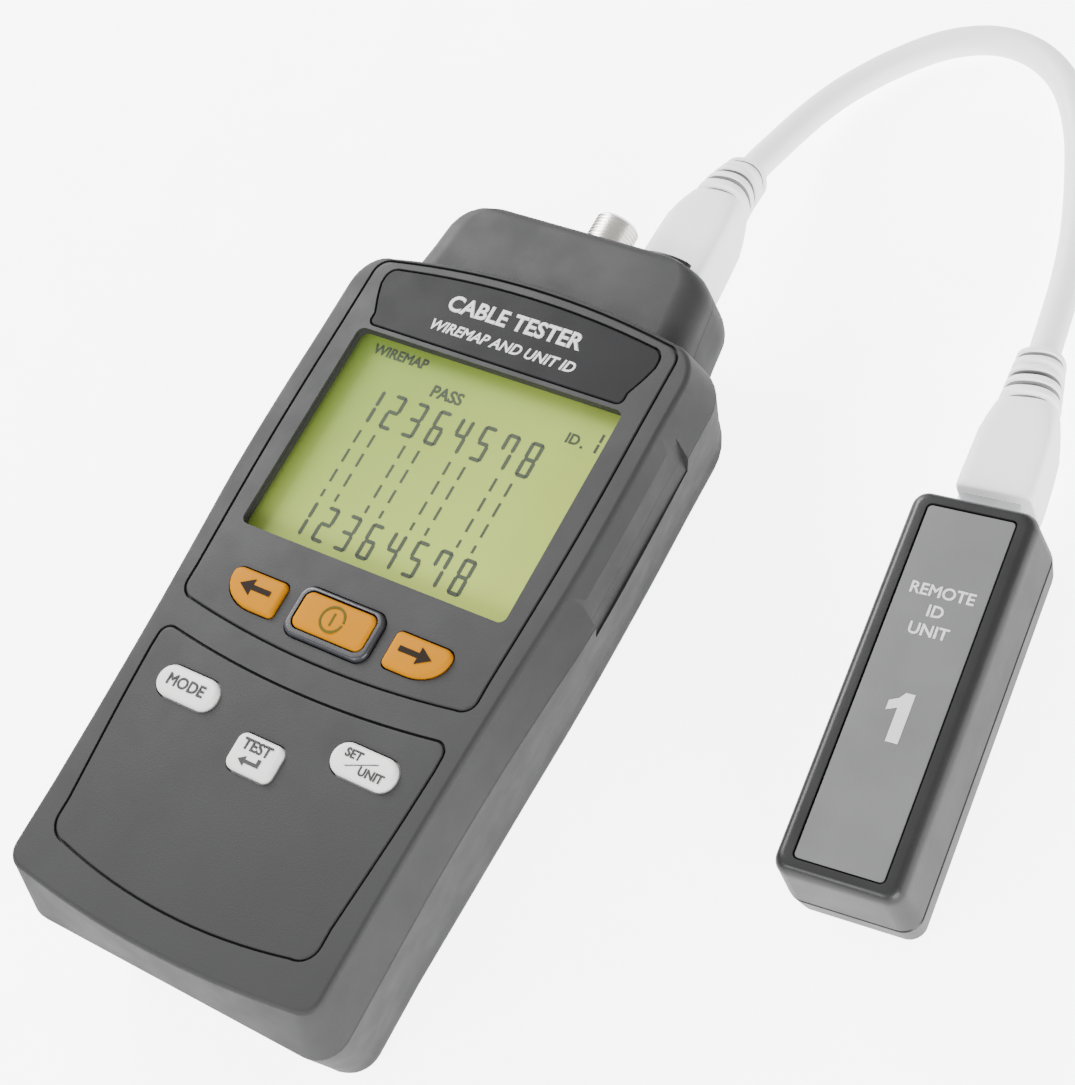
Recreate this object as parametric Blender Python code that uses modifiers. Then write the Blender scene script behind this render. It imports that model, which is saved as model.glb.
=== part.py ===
"""Hand-held network cable tester with its patch lead and remote identifier unit.

The tester lies on its back: +X is its right side, +Y points out of the connector
head, +Z out of the front face, and z = 0 is the surface that it lies on. The origin
is on the middle line of the tester's back face. All sizes below are millimetres and
are turned into metres where a mesh is made.
"""
import math

import bmesh
import bpy
from mathutils import Matrix, Vector

MM = 0.001
GAP = 0.3                      # clearance between pieces that touch or rest on each other

# ---- tester case -----------------------------------------------------------------
FRONT_Z = 38.0                 # front face
CREASE_Z = 26.0                # ridge where the two case halves meet, at y = 0
CREASE_SLOPE = 0.015           # the ridge climbs towards the head
WALL = 2.2
RIM_WALL = 3.2                 # the wall is thicker along the ridge
HEAD_TOP_Z = 34.0
HEAD_BOTTOM_Z = 10.0
HEAD_FACE_Y = 80.6
PANEL_RECESS = 1.1             # depth of the recess that each front panel sits in
GRIP_Y = (6.5, 44.5)
GRIP_Z = (20.0, 32.5)
GRIP_X = 39.8                  # the flat floor of the finger recess
CASE_SCREWS = [(26.4, -74.4), (-26.4, -74.4), (29.1, 50.6), (-29.1, 50.6)]
BOARD_SCREWS = [(21.0, -64.0), (-21.0, -64.0), (21.0, 53.0), (-21.0, 53.0)]

# ---- display and board -------------------------------------------------------------
WINDOW = (-31.2, 31.2, -2.6, 43.7)
LENS_Z = (34.7, 35.5)
LCD_Z = (33.1, 34.4)
BACKLIGHT_Z = (30.2, 32.8)
BOARD_Z = (28.0, 29.6)
BOARD_HALF_WIDTH = 25.5
BOARD_Y = (-70.0, 74.5)
MAT_Z = (29.9, 30.6)
DOME_TOP_Z = 31.4

# ---- keys --------------------------------------------------------------------------
KEY_CLEARANCE = 0.35
KEY_FLANGE_Z = (34.5, 35.5)
KEY_POST_Z = 32.4
ORANGE_ROW_Y = (-18.2, -10.8)
WHITE_KEYS_Y = -36.3
TEST_KEY_Y = -42.9

# ---- connectors --------------------------------------------------------------------
LAN_X = 17.5
PHONE_X = -17.5
JACK_Z = (14.4, 27.7)
PHONE_FRONT_Y = 81.3
LAN_FRONT_Y = 76.2             # set back, so that a plug's boot goes into its opening
COAX_Z = 23.5
PLUG_WIDTH = 11.7
PLUG_HEIGHT = 6.6
PLUG_LENGTH = 16.3
PLUG_LIFT = 1.1                # plug centre above the middle of its jack
LATCH_WIDTH = 5.8

# ---- battery -----------------------------------------------------------------------
BATTERY_HALF_WIDTH = 13.25
BATTERY_Y = (-78.5, -30.0)
BATTERY_Z = (2.7, 20.2)
DOOR_HALF_WIDTH = 18.0
DOOR_Y = -24.0
DOOR_Z = 9.0

# ---- patch lead --------------------------------------------------------------------
CABLE_DIAMETER = 6.2
BOOT_LENGTH = 33.0
BOOT_SOLID = 22.5              # length of the smooth part in front of the ribs
BOOT_RIBS = 5
BOOT_HALF_WIDTH = 7.3
BOOT_HALF_HEIGHT = 6.3
# Boot spines run from the plug to the end of the ribs: (across, along, up).
BOOT_A_SPINE = [(17.5, 79.1, 21.6), (17.4, 90.0, 21.6), (16.9, 101.2, 20.4), (16.1, 110.8, 16.2)]
BOOT_B_SPINE = [(0.6, 41.7, 11.6), (0.4, 53.0, 11.6), (-0.6, 64.6, 11.3), (-1.9, 74.2, 9.8)]
# The cable's route over the table, from the end of boot A to the end of boot B.
CABLE_ROUTE = [
    (15.8, 116.8, 13.4), (15.7, 122.7, 10.3), (15.6, 129.5, 6.4), (16.2, 137.0, 3.9),
    (19.9, 145.3, 3.1),
    (26.8, 154.3, 3.1), (35.3, 161.3, 3.1), (45.0, 164.6, 3.1), (54.8, 163.2, 3.1),
    (63.5, 157.4, 3.1), (70.4, 147.7, 3.1), (75.6, 136.4, 3.1), (79.8, 125.0, 3.1),
    (82.6, 115.0, 3.7), (84.8, 106.0, 5.4),
]
CABLE_STEP = 11.0              # spacing of the points read from the smooth route

# ---- remote unit -------------------------------------------------------------------
REMOTE_PLACE = (98.0, 18.26)
REMOTE_YAW = math.radians(6.0)
REMOTE_HALF_LENGTH = 38.2
REMOTE_TOP_Z = 22.0
REMOTE_SPLIT_Z = 8.0
REMOTE_JACK_Z = (4.6, 17.9)
REMOTE_BOARD_Z = (18.2, 19.4)
REMOTE_SCREWS_Y = (-31.0, 8.0)
LABEL_HALF = (8.15, 34.7)

COLORS = {
    "case_plastic": ((0.130, 0.132, 0.134), 0.55, 0.0),
    "plate_plastic": ((0.085, 0.086, 0.088), 0.35, 0.0),
    "orange_plastic": ((0.83, 0.40, 0.04), 0.40, 0.0),
    "white_plastic": ((0.82, 0.82, 0.82), 0.40, 0.0),
    "ring_plastic": ((0.030, 0.030, 0.034), 0.35, 0.0),
    "lens_plastic": ((0.75, 0.85, 0.60), 0.05, 0.0),
    "lcd_glass": ((0.52, 0.62, 0.20), 0.20, 0.0),
    "diffuser": ((0.80, 0.85, 0.70), 0.50, 0.0),
    "elastomer": ((0.35, 0.35, 0.36), 0.80, 0.0),
    "board": ((0.02, 0.16, 0.06), 0.45, 0.0),
    "black_plastic": ((0.020, 0.020, 0.022), 0.45, 0.0),
    "nickel": ((0.66, 0.65, 0.62), 0.28, 1.0),
    "gold": ((0.85, 0.62, 0.25), 0.25, 1.0),
    "steel": ((0.48, 0.48, 0.48), 0.35, 1.0),
    "clear_plastic": ((0.80, 0.84, 0.86), 0.10, 0.0),
    "lead_white": ((0.84, 0.84, 0.83), 0.45, 0.0),
    "battery_wrap": ((0.10, 0.22, 0.36), 0.35, 0.2),
    "red_wire": ((0.55, 0.03, 0.03), 0.50, 0.0),
    "label_grey": ((0.27, 0.27, 0.27), 0.45, 0.0),
}


# ---- scene and object helpers ------------------------------------------------------
def clear_scene():
    for obj in list(bpy.data.objects):
        bpy.data.objects.remove(obj, do_unlink=True)


def make_collection(name):
    collection = bpy.data.collections.new(name)
    bpy.context.scene.collection.children.link(collection)
    return collection


def material(name):
    existing = bpy.data.materials.get(name)
    if existing:
        return existing
    color, roughness, metallic = COLORS[name]
    made = bpy.data.materials.new(name)
    made.use_nodes = True
    shader = made.node_tree.nodes["Principled BSDF"]
    shader.inputs["Base Color"].default_value = (*color, 1.0)
    shader.inputs["Roughness"].default_value = roughness
    shader.inputs["Metallic"].default_value = metallic
    made.diffuse_color = (*color, 1.0)
    return made


def object_from_bmesh(name, bm, slot=None, parent=None, place=(0.0, 0.0, 0.0)):
    """Make an object from a bmesh drawn in millimetres about `place`."""
    bmesh.ops.recalc_face_normals(bm, faces=bm.faces)
    if bm.calc_volume(signed=True) < 0.0:
        bmesh.ops.reverse_faces(bm, faces=bm.faces)
    bmesh.ops.scale(bm, vec=(MM, MM, MM), verts=bm.verts)
    mesh = bpy.data.meshes.new(name)
    bm.to_mesh(mesh)
    bm.free()
    mesh.shade_smooth()
    mesh.set_sharp_from_angle(angle=math.radians(35))
    obj = bpy.data.objects.new(name, mesh)
    obj.location = Vector(place) * MM
    obj.parent = parent
    if slot is None:
        CUTTERS.objects.link(obj)
        obj.hide_render = True
        obj.display_type = "WIRE"
    else:
        mesh.materials.append(material(slot))
        PARTS.objects.link(obj)
    return obj


def boolean(obj, other, operation="DIFFERENCE"):
    modifier = obj.modifiers.new(other.name, "BOOLEAN")
    modifier.operation = operation
    modifier.solver = "EXACT"
    modifier.object = other


def add_box(bm, x, y, z):
    """Add a box given by its (low, high) extents."""
    size = (x[1] - x[0], y[1] - y[0], z[1] - z[0])
    centre = ((x[0] + x[1]) / 2, (y[0] + y[1]) / 2, (z[0] + z[1]) / 2)
    matrix = Matrix.Translation(centre) @ Matrix.Diagonal((*size, 1.0))
    bmesh.ops.create_cube(bm, size=1.0, matrix=matrix)


def add_cylinder(bm, centre, radius, z, sides=20, axis="Z"):
    """Add a cylinder from z[0] to z[1] along `axis`, with `centre` in the other two axes."""
    if axis == "Z":
        turn = Matrix.Translation((centre[0], centre[1], (z[0] + z[1]) / 2))
    else:
        turn = Matrix.Translation((centre[0], (z[0] + z[1]) / 2, centre[1]))
        turn = turn @ Matrix.Rotation(math.radians(-90), 4, "X")
    bmesh.ops.create_cone(bm, cap_ends=True, segments=sides, radius1=radius,
                          radius2=radius, depth=z[1] - z[0], matrix=turn)


def box_object(name, x, y, z, slot=None, parent=None):
    bm = bmesh.new()
    add_box(bm, x, y, z)
    return object_from_bmesh(name, bm, slot, parent)


def add_loft(bm, rings):
    """Skin closed rings with the same number of points and cap both ends."""
    loops = [[bm.verts.new(point) for point in ring] for ring in rings]
    count = len(loops[0])
    for lower, upper in zip(loops, loops[1:]):
        for k in range(count):
            following = (k + 1) % count
            bm.faces.new((lower[k], lower[following], upper[following], upper[k]))
    bm.faces.new(list(reversed(loops[0])))
    bm.faces.new(loops[-1])


def loft_object(name, rings, slot=None, parent=None):
    bm = bmesh.new()
    add_loft(bm, rings)
    return object_from_bmesh(name, bm, slot, parent)


def at_height(outline, z):
    return [(x, y, z) for x, y in outline]


# ---- outlines ----------------------------------------------------------------------
def quarter_arc(centre, radii, start, steps):
    """Points of a quarter ellipse turning anticlockwise from `start` degrees."""
    angles = [math.radians(start + 90.0 * k / steps) for k in range(steps + 1)]
    return [(centre[0] + radii[0] * math.cos(a), centre[1] + radii[1] * math.sin(a))
            for a in angles]


def rounded_outline(x, y, radii, steps=3):
    """Rectangle with its own (rx, ry) at the low-left, low-right, top-right, top-left."""
    if not isinstance(radii, (list, tuple)):
        radii = [(radii, radii)] * 4
    low_left, low_right, top_right, top_left = radii
    points = quarter_arc((x[0] + low_left[0], y[0] + low_left[1]), low_left, 180, steps)
    points += quarter_arc((x[1] - low_right[0], y[0] + low_right[1]), low_right, 270, steps)
    points += quarter_arc((x[1] - top_right[0], y[1] - top_right[1]), top_right, 0, steps)
    points += quarter_arc((x[0] + top_left[0], y[1] - top_left[1]), top_left, 90, steps)
    return without_repeats(points)


def without_repeats(points):
    kept = []
    for point in points:
        if not kept or math.dist(point, kept[-1]) > 1e-4:
            kept.append(point)
    if math.dist(kept[0], kept[-1]) < 1e-4:
        kept.pop()
    return kept


def offset_outline(points, distance):
    """Move a convex anticlockwise outline outwards by `distance`."""
    moved = []
    count = len(points)
    for k in range(count):
        before, here, after = points[k - 1], points[k], points[(k + 1) % count]
        first = Vector((here[1] - before[1], before[0] - here[0])).normalized()
        second = Vector((after[1] - here[1], here[0] - after[0])).normalized()
        middle = (first + second).normalized()
        reach = distance / max(middle.dot(first), 0.3)
        moved.append((here[0] + middle.x * reach, here[1] + middle.y * reach))
    return moved


class CaseOutline:
    """Mirror-symmetric outline with bowed ends, shaped sides and round corners."""

    def __init__(self, bottom, bottom_radius, sides, top, top_radii):
        self.bottom = bottom              # y at the middle and at the corner
        self.bottom_radius = bottom_radius
        self.sides = sides                # (y, half width), bottom to top
        self.top = top                    # y at the corner and at the middle
        self.top_radii = top_radii

    def inset(self, across, along=None):
        """The outline moved in by `across` at its sides and `along` at its ends."""
        along = across if along is None else along
        radius = max(self.bottom_radius - across, 0.6)
        radii = (max(self.top_radii[0] - across, 0.6), max(self.top_radii[1] - along, 0.6))
        return CaseOutline(tuple(y + along for y in self.bottom), radius,
                           [(y, w - across) for y, w in self.sides],
                           tuple(y - along for y in self.top), radii)

    def points(self, steps=3, across=2):
        low_width = self.sides[0][1]
        high_width = self.sides[-1][1]
        radius = self.bottom_radius
        half = []
        for k in range(across):
            t = k / across
            y = self.bottom[0] + (self.bottom[1] - self.bottom[0]) * t * t
            half.append((t * (low_width - radius), y))
        half += quarter_arc((low_width - radius, self.bottom[1] + radius),
                            (radius, radius), 270, steps)
        half += [(w, y) for y, w in self.sides]
        rx, ry = self.top_radii
        half += quarter_arc((high_width - rx, self.top[0] - ry), (rx, ry), 0, steps)
        for k in range(across - 1, -1, -1):
            t = k / across
            y = self.top[1] + (self.top[0] - self.top[1]) * t * t
            half.append((t * (high_width - rx), y))
        left = [(-x, y) for x, y in reversed(half[1:-1])]
        return without_repeats(half + left)


FRONT_OUTLINE = CaseOutline(
    (-81.9, -78.8), 5.5,
    [(-62.0, 36.9), (-45.0, 37.3), (-25.0, 38.0), (-8.0, 38.9), (8.0, 39.8), (42.0, 39.8)],
    (60.2, 63.6), (6.5, 8.0))
CREASE_OUTLINE = CaseOutline(
    (-84.4, -84.4), 6.5,
    [(-62.0, 37.7), (-45.0, 37.9), (-25.0, 38.8), (-8.0, 40.2), (6.0, 41.4), (42.0, 41.4)],
    (65.0, 66.5), (12.0, 13.0))
BACK_OUTLINE = CaseOutline(
    (-83.0, -83.0), 6.5,
    [(-62.0, 33.9), (-45.0, 34.4), (-25.0, 34.9), (-8.0, 35.3), (6.0, 35.5), (42.0, 35.5)],
    (69.0, 70.5), (14.0, 16.0))
HEAD_OUTLINE = CaseOutline(
    (46.0, 46.0), 1.0,
    [(52.0, 33.0), (66.0, 31.8), (72.0, 30.8)],
    (79.4, HEAD_FACE_Y), (7.0, 6.4))
BEZEL_OUTLINE = CaseOutline(
    (-22.8, -20.4), 3.2,
    [(-14.0, 34.6), (8.0, 35.5), (44.0, 35.7)],
    (59.4, 62.3), (3.4, 3.6))
KEYPAD_OUTLINE = CaseOutline(
    (-74.6, -71.6), 4.2,
    [(-64.0, 31.4), (-45.0, 33.0), (-32.0, 33.8)],
    (-26.6, -28.9), (2.4, 2.4))
PLATE_OUTLINE = CaseOutline(
    (44.8, 44.8), 1.4,
    [(47.5, 29.9), (51.0, 31.4), (54.0, 32.4)],
    (58.0, 60.3), (2.6, 2.6))


def shell_rings(levels):
    """Rings from (outline, inset, z) levels."""
    return [at_height(outline.inset(inset).points(), z) for outline, inset, z in levels]


def crease_at(y):
    return CREASE_Z + CREASE_SLOPE * y


def crease_ring(outline, inset, rise):
    """Ring in a plane `rise` above the sloping ridge."""
    return [(x, y, crease_at(y) + rise) for x, y in outline.inset(inset).points()]


# ---- key and ring outlines ---------------------------------------------------------
def key_outlines():
    """Name, outline and top height of each key, seen from the front."""
    low, high = ORANGE_ROW_Y
    small = (1.2, 1.2)
    sweep = (7.2, 5.4)
    return {
        "key_left": (rounded_outline((-25.8, -13.0), (low, high),
                                     [sweep, small, small, (2.0, 1.6)]), 39.1),
        "key_power": (rounded_outline((-8.3, 8.3), (-17.9, -10.3), 1.7), 39.5),
        "key_right": (rounded_outline((13.0, 25.8), (low, high),
                                      [small, sweep, (2.0, 1.6), small]), 39.1),
        "key_mode": (stadium(-21.0, WHITE_KEYS_Y, 14.2, 6.4), 39.2),
        "key_test": (rounded_outline((-5.2, 5.2), (TEST_KEY_Y - 3.7, TEST_KEY_Y + 3.7), 1.8), 39.2),
        "key_unit": (stadium(21.0, WHITE_KEYS_Y, 14.2, 6.4), 39.2),
    }


def stadium(x, y, length, width):
    radius = width / 2 - 0.05
    return rounded_outline((x - length / 2, x + length / 2), (y - width / 2, y + width / 2),
                           radius)


RING_OUTLINE = rounded_outline((-9.8, 9.8), (-19.6, -9.2), 2.6)


# ---- tester case -------------------------------------------------------------------
def head_openings(bm):
    """Holes in the head's end wall, for the two jacks and the coax connector."""
    through = (HEAD_FACE_Y - 8.0, HEAD_FACE_Y + 6.0)
    add_box(bm, (LAN_X - 8.4, LAN_X + 8.4), through, (JACK_Z[0] - 0.5, JACK_Z[1] + 1.0))
    add_box(bm, (PHONE_X - 7.1, PHONE_X + 7.1), through, (JACK_Z[0] - 0.4, JACK_Z[1] + 0.4))
    add_cylinder(bm, (0.0, COAX_Z), 5.1, through, 24, "Y")


def grip_cutter(name):
    """Finger recess in each side of the case, across the ridge."""
    cuts = bmesh.new()
    for side in (-1, 1):
        reach = sorted((side * GRIP_X, side * (GRIP_X + 6.0)))
        add_box(cuts, reach, GRIP_Y, GRIP_Z)
    return object_from_bmesh(name, cuts)


def front_case():
    outer = loft_object("front_case", [crease_ring(CREASE_OUTLINE, 0.0, GAP / 2)] + shell_rings([
        (FRONT_OUTLINE, 0.0, FRONT_Z - 1.5), (FRONT_OUTLINE, 0.4, FRONT_Z - 0.5),
        (FRONT_OUTLINE, 1.3, FRONT_Z)]), "case_plastic")
    head = loft_object("front_head_shape", [crease_ring(HEAD_OUTLINE, 0.0, GAP / 2)] + shell_rings([
        (HEAD_OUTLINE, 0.3, HEAD_TOP_Z - 3.0), (HEAD_OUTLINE, 1.2, HEAD_TOP_Z - 1.4),
        (HEAD_OUTLINE, 3.2, HEAD_TOP_Z)]))
    boolean(outer, head, "UNION")
    boolean(outer, loft_object("front_hollow", [
        crease_ring(CREASE_OUTLINE, RIM_WALL, -1.0), crease_ring(CREASE_OUTLINE, RIM_WALL, 2.0),
        *shell_rings([(FRONT_OUTLINE, WALL + 0.4, FRONT_Z - WALL)])]))
    boolean(outer, loft_object("front_head_hollow", [
        crease_ring(HEAD_OUTLINE, WALL, -1.0), *shell_rings([
            (HEAD_OUTLINE, WALL + 0.4, HEAD_TOP_Z - 3.4),
            (HEAD_OUTLINE, WALL + 2.0, HEAD_TOP_Z - WALL)])]))
    posts = bmesh.new()
    for x, y in CASE_SCREWS:
        add_cylinder(posts, (x, y), 3.2, (crease_at(y) + GAP, FRONT_Z - WALL + 0.6), 14)
    for x, y in BOARD_SCREWS:
        add_cylinder(posts, (x, y), 2.4, (BOARD_Z[1] + GAP, FRONT_Z - WALL + 0.6), 12)
    boolean(outer, object_from_bmesh("front_posts", posts), "UNION")

    cuts = bmesh.new()
    head_openings(cuts)
    for x, y in CASE_SCREWS:
        add_cylinder(cuts, (x, y), 1.5, (crease_at(y) - 2.0, 33.0), 12)
    for x, y in BOARD_SCREWS:
        add_cylinder(cuts, (x, y), 1.2, (BOARD_Z[1] - 1.0, 34.0), 12)
    boolean(outer, object_from_bmesh("front_cuts", cuts))
    boolean(outer, grip_cutter("front_grips"))

    recess = bmesh.new()
    floor = FRONT_Z - PANEL_RECESS
    for outline in (BEZEL_OUTLINE, KEYPAD_OUTLINE):
        wide = outline.inset(-GAP).points()
        add_loft(recess, [at_height(wide, floor), at_height(wide, FRONT_Z + 2.0)])
    boolean(outer, object_from_bmesh("panel_recesses", recess))
    boolean(outer, front_openings("front_openings", FRONT_Z - WALL - 2.0, FRONT_Z + 3.0))


def front_openings(name, bottom, top):
    """Window and key holes, as one cutter from `bottom` to `top`."""
    cuts = bmesh.new()
    window = rounded_outline(WINDOW[:2], WINDOW[2:], 1.6)
    add_loft(cuts, [at_height(window, bottom), at_height(window, top)])
    for outline, _ in key_outlines().values():
        hole = offset_outline(outline, KEY_CLEARANCE)
        add_loft(cuts, [at_height(hole, bottom), at_height(hole, top)])
    return object_from_bmesh(name, cuts)


def back_outer_rings():
    return shell_rings([
        (BACK_OUTLINE, 4.2, 0.0), (BACK_OUTLINE, 2.4, 0.6), (BACK_OUTLINE, 0.9, 2.3),
        (BACK_OUTLINE, 0.0, 5.5)]) + [crease_ring(CREASE_OUTLINE, 0.0, -GAP / 2)]


def back_head_rings(wall=0.0):
    """Half of the head below the ridge; its sides draw in more than its end does."""
    levels = [(4.8, 1.5, 0.0), (3.0, 0.4, 2.0), (1.8, 0.0, 4.0), (0.9, 0.0, 7.0), (0.3, 0.0, 11.0)]
    return [at_height(HEAD_OUTLINE.inset(across + wall, along + wall).points(),
                      HEAD_BOTTOM_Z + wall * 0.9 + rise) for across, along, rise in levels]


def door_cutter(name, gap):
    width = DOOR_HALF_WIDTH - gap
    return box_object(name, (-width, width), (-95.0, DOOR_Y - gap), (-2.0, DOOR_Z - gap))


def back_case():
    outer = loft_object("back_case", back_outer_rings(), "case_plastic")
    boolean(outer, loft_object("back_head_shape", back_head_rings()
                               + [crease_ring(HEAD_OUTLINE, 0.0, -GAP / 2)]), "UNION")
    boolean(outer, loft_object("back_hollow", shell_rings([
        (BACK_OUTLINE, 5.0, WALL), (BACK_OUTLINE, WALL + 0.6, 5.5)])
        + [crease_ring(CREASE_OUTLINE, RIM_WALL, 1.0)]))
    boolean(outer, loft_object("back_head_hollow", back_head_rings(WALL)
                               + [crease_ring(HEAD_OUTLINE, WALL, 1.0)]))
    boolean(outer, door_cutter("door_opening", 0.0))
    boolean(outer, grip_cutter("back_grips"))
    inner = bmesh.new()
    for x, y in CASE_SCREWS:
        add_cylinder(inner, (x, y), 3.9, (1.4, crease_at(y) - GAP), 14)
    boolean(outer, object_from_bmesh("back_posts", inner), "UNION")
    boolean(outer, bay_walls(), "UNION")
    cuts = bmesh.new()
    drills = bmesh.new()
    head_openings(cuts)
    for x, y in CASE_SCREWS:
        add_cylinder(cuts, (x, y), 2.9, (-2.0, 12.0), 14)
        add_cylinder(drills, (x, y), 1.5, (11.0, crease_at(y) + 2.0), 12)
    boolean(outer, object_from_bmesh("back_cuts", cuts))
    boolean(outer, object_from_bmesh("back_drills", drills))


def bay_walls():
    """Three-sided wall round the battery bay, open towards the bottom end."""
    outer, inner = DOOR_HALF_WIDTH + 1.8, DOOR_HALF_WIDTH + 0.3
    top = DOOR_Y + 0.3
    plan = [(-outer, -81.6), (-inner, -81.6), (-inner, top), (inner, top),
            (inner, -81.6), (outer, -81.6), (outer, top + 1.5), (-outer, top + 1.5)]
    return loft_object("bay_walls", [at_height(plan, 1.2), at_height(plan, 14.0)])


def battery_door():
    door = loft_object("battery_door", back_outer_rings(), "case_plastic")
    boolean(door, door_cutter("door_blank", GAP), "INTERSECT")
    boolean(door, box_object("door_hollow", (-30.0, 30.0), (-80.6, 0.0), (WALL, 30.0)))
    return door


def front_panels():
    top = FRONT_Z
    bottom = FRONT_Z - PANEL_RECESS + GAP
    bezel = loft_object("display_bezel", [
        at_height(BEZEL_OUTLINE.points(), bottom), at_height(BEZEL_OUTLINE.points(), top)],
        "case_plastic")
    boolean(bezel, front_openings("bezel_openings", bottom - 2.0, top + 2.0))
    inlay = bmesh.new()
    hole = PLATE_OUTLINE.inset(-GAP).points()
    add_loft(inlay, [at_height(hole, bottom - 1.0), at_height(hole, top + 1.0)])
    ring_hole = offset_outline(RING_OUTLINE, GAP)
    boolean(bezel, object_from_bmesh("plate_hole", inlay))
    boolean(bezel, loft_object("ring_hole", [at_height(ring_hole, bottom - 1.0),
                                             at_height(ring_hole, top + 1.0)]))
    loft_object("name_plate", [at_height(PLATE_OUTLINE.points(), bottom),
                               at_height(PLATE_OUTLINE.points(), top)], "plate_plastic")
    keypad = loft_object("keypad_panel", [
        at_height(KEYPAD_OUTLINE.points(), bottom), at_height(KEYPAD_OUTLINE.points(), top)],
        "case_plastic")
    boolean(keypad, front_openings("keypad_openings", bottom - 2.0, top + 2.0))
    ring = loft_object("power_key_ring", [
        at_height(RING_OUTLINE, bottom), at_height(RING_OUTLINE, top + 0.3),
        at_height(offset_outline(RING_OUTLINE, -0.5), top + 0.9)], "ring_plastic")
    shaft = offset_outline(key_outlines()["key_power"][0], KEY_CLEARANCE)
    boolean(ring, loft_object("ring_bore", [at_height(shaft, bottom - 1.0),
                                            at_height(shaft, top + 2.0)]))


def keys():
    """Each key is a cap, a flange under the front wall and a post over its dome."""
    for name, (outline, top) in key_outlines().items():
        centre_x = sum(x for x, _ in outline) / len(outline)
        centre_y = sum(y for _, y in outline) / len(outline)
        local = [(x - centre_x, y - centre_y) for x, y in outline]
        flange = offset_outline(local, 1.0)
        reach = max(max(abs(x), abs(y)) for x, y in local)
        post = [(x * 2.4 / reach, y * 2.4 / reach) for x, y in local]
        rings = [
            at_height(post, KEY_POST_Z), at_height(post, KEY_FLANGE_Z[0]),
            at_height(flange, KEY_FLANGE_Z[0]), at_height(flange, KEY_FLANGE_Z[1]),
            at_height(local, KEY_FLANGE_Z[1]), at_height(local, top - 0.5),
            at_height(offset_outline(local, -0.2), top - 0.15),
            at_height(offset_outline(local, -0.7), top)]
        bm = bmesh.new()
        add_loft(bm, rings)
        slot = "white_plastic" if name in ("key_mode", "key_test", "key_unit") else "orange_plastic"
        object_from_bmesh(name, bm, slot, None, (centre_x, centre_y, 0.0))


# ---- inside the tester -------------------------------------------------------------
def display_stack():
    box_object("lens", (-33.6, 33.6), (-5.0, 46.0), LENS_Z, "lens_plastic")
    box_object("lcd_panel", (-33.0, 33.0), (-6.0, 46.0), LCD_Z, "lcd_glass")
    box_object("backlight", (-32.0, 32.0), (-2.6, 45.0), BACKLIGHT_Z, "diffuser")
    box_object("zebra_strip", (-30.0, 30.0), (-5.6, -3.4), (BOARD_Z[1] + GAP, LCD_Z[0] - GAP),
               "elastomer")


def main_board():
    board = box_object("main_board", (-BOARD_HALF_WIDTH, BOARD_HALF_WIDTH), BOARD_Y, BOARD_Z,
                       "board")
    holes = bmesh.new()
    for x, y in BOARD_SCREWS:
        add_cylinder(holes, (x, y), 1.5, (BOARD_Z[0] - 1.0, BOARD_Z[1] + 1.0), 12)
    boolean(board, object_from_bmesh("board_holes", holes))
    below = BOARD_Z[0] - GAP
    box_object("controller_chip", (-7.0, 7.0), (18.0, 32.0), (below - 1.6, below), "black_plastic")
    buzzer = bmesh.new()
    add_cylinder(buzzer, (-14.0, 2.0), 6.0, (below - 5.2, below), 20)
    object_from_bmesh("buzzer", buzzer, "black_plastic")


def keypad_mat():
    """Rubber sheet with a dome under each key."""
    mat = box_object("keypad_mat", (-25.0, 25.0), (-47.0, -9.0), MAT_Z, "elastomer")
    domes = bmesh.new()
    for outline, _ in key_outlines().values():
        x = sum(p[0] for p in outline) / len(outline)
        y = sum(p[1] for p in outline) / len(outline)
        add_cylinder(domes, (x, y), 2.6, (MAT_Z[0] + 0.2, DOME_TOP_Z), 12)
    boolean(mat, object_from_bmesh("dome_shapes", domes), "UNION")


def screw_profile(name, place, head_radius, head, shank_radius, length, slot, parent=None):
    """Cross-head screw pointing up from `place`, its bearing face `head` above it."""
    profile = [(0.0, length), (shank_radius * 0.5, length), (shank_radius, length - 0.8),
               (shank_radius, head), (head_radius, head), (head_radius, 0.5),
               (head_radius - 0.6, 0.0), (0.0, 0.0)]
    screw = turned(name, profile, slot, 10, parent, place)
    cross = bmesh.new()
    add_box(cross, (-1.3, 1.3), (-0.3, 0.3), (-1.0, 0.9))
    cross_cut = object_from_bmesh(name + "_slot", cross, None, parent, place)
    boolean(screw, cross_cut)
    return screw


def turned(name, profile, slot, steps, parent=None, place=(0.0, 0.0, 0.0), along_y=False):
    """Turn a (radius, height) profile about its own Z axis with a Screw modifier."""
    mesh = bpy.data.meshes.new(name)
    points = [(r * MM, 0.0, z * MM) for r, z in profile]
    closed = profile[0][0] > 0.0
    edges = [(k, k + 1) for k in range(len(points) - 1)]
    if closed:
        edges.append((len(points) - 1, 0))
    mesh.from_pydata(points, edges, [])
    obj = bpy.data.objects.new(name, mesh)
    obj.location = Vector(place) * MM
    obj.parent = parent
    if along_y:
        obj.rotation_euler = (math.radians(-90), 0.0, 0.0)
    PARTS.objects.link(obj)
    spin = obj.modifiers.new("turn", "SCREW")
    spin.axis = "Z"
    spin.angle = math.tau
    spin.steps = steps
    spin.render_steps = steps
    spin.use_merge_vertices = True
    spin.merge_threshold = 0.00001
    spin.use_smooth_shade = True
    mesh.materials.append(material(slot))
    return obj


def screws():
    for number, (x, y) in enumerate(CASE_SCREWS, 1):
        screw_profile(f"case_screw_{number}", (x, y, 9.6), 2.5, 2.1, 1.15, 22.0, "steel")
    for number, (x, y) in enumerate(BOARD_SCREWS, 1):
        screw_profile(f"board_screw_{number}", (x, y, BOARD_Z[0] - GAP - 1.4), 2.2, 1.4, 0.9,
                      7.0, "steel")


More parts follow.
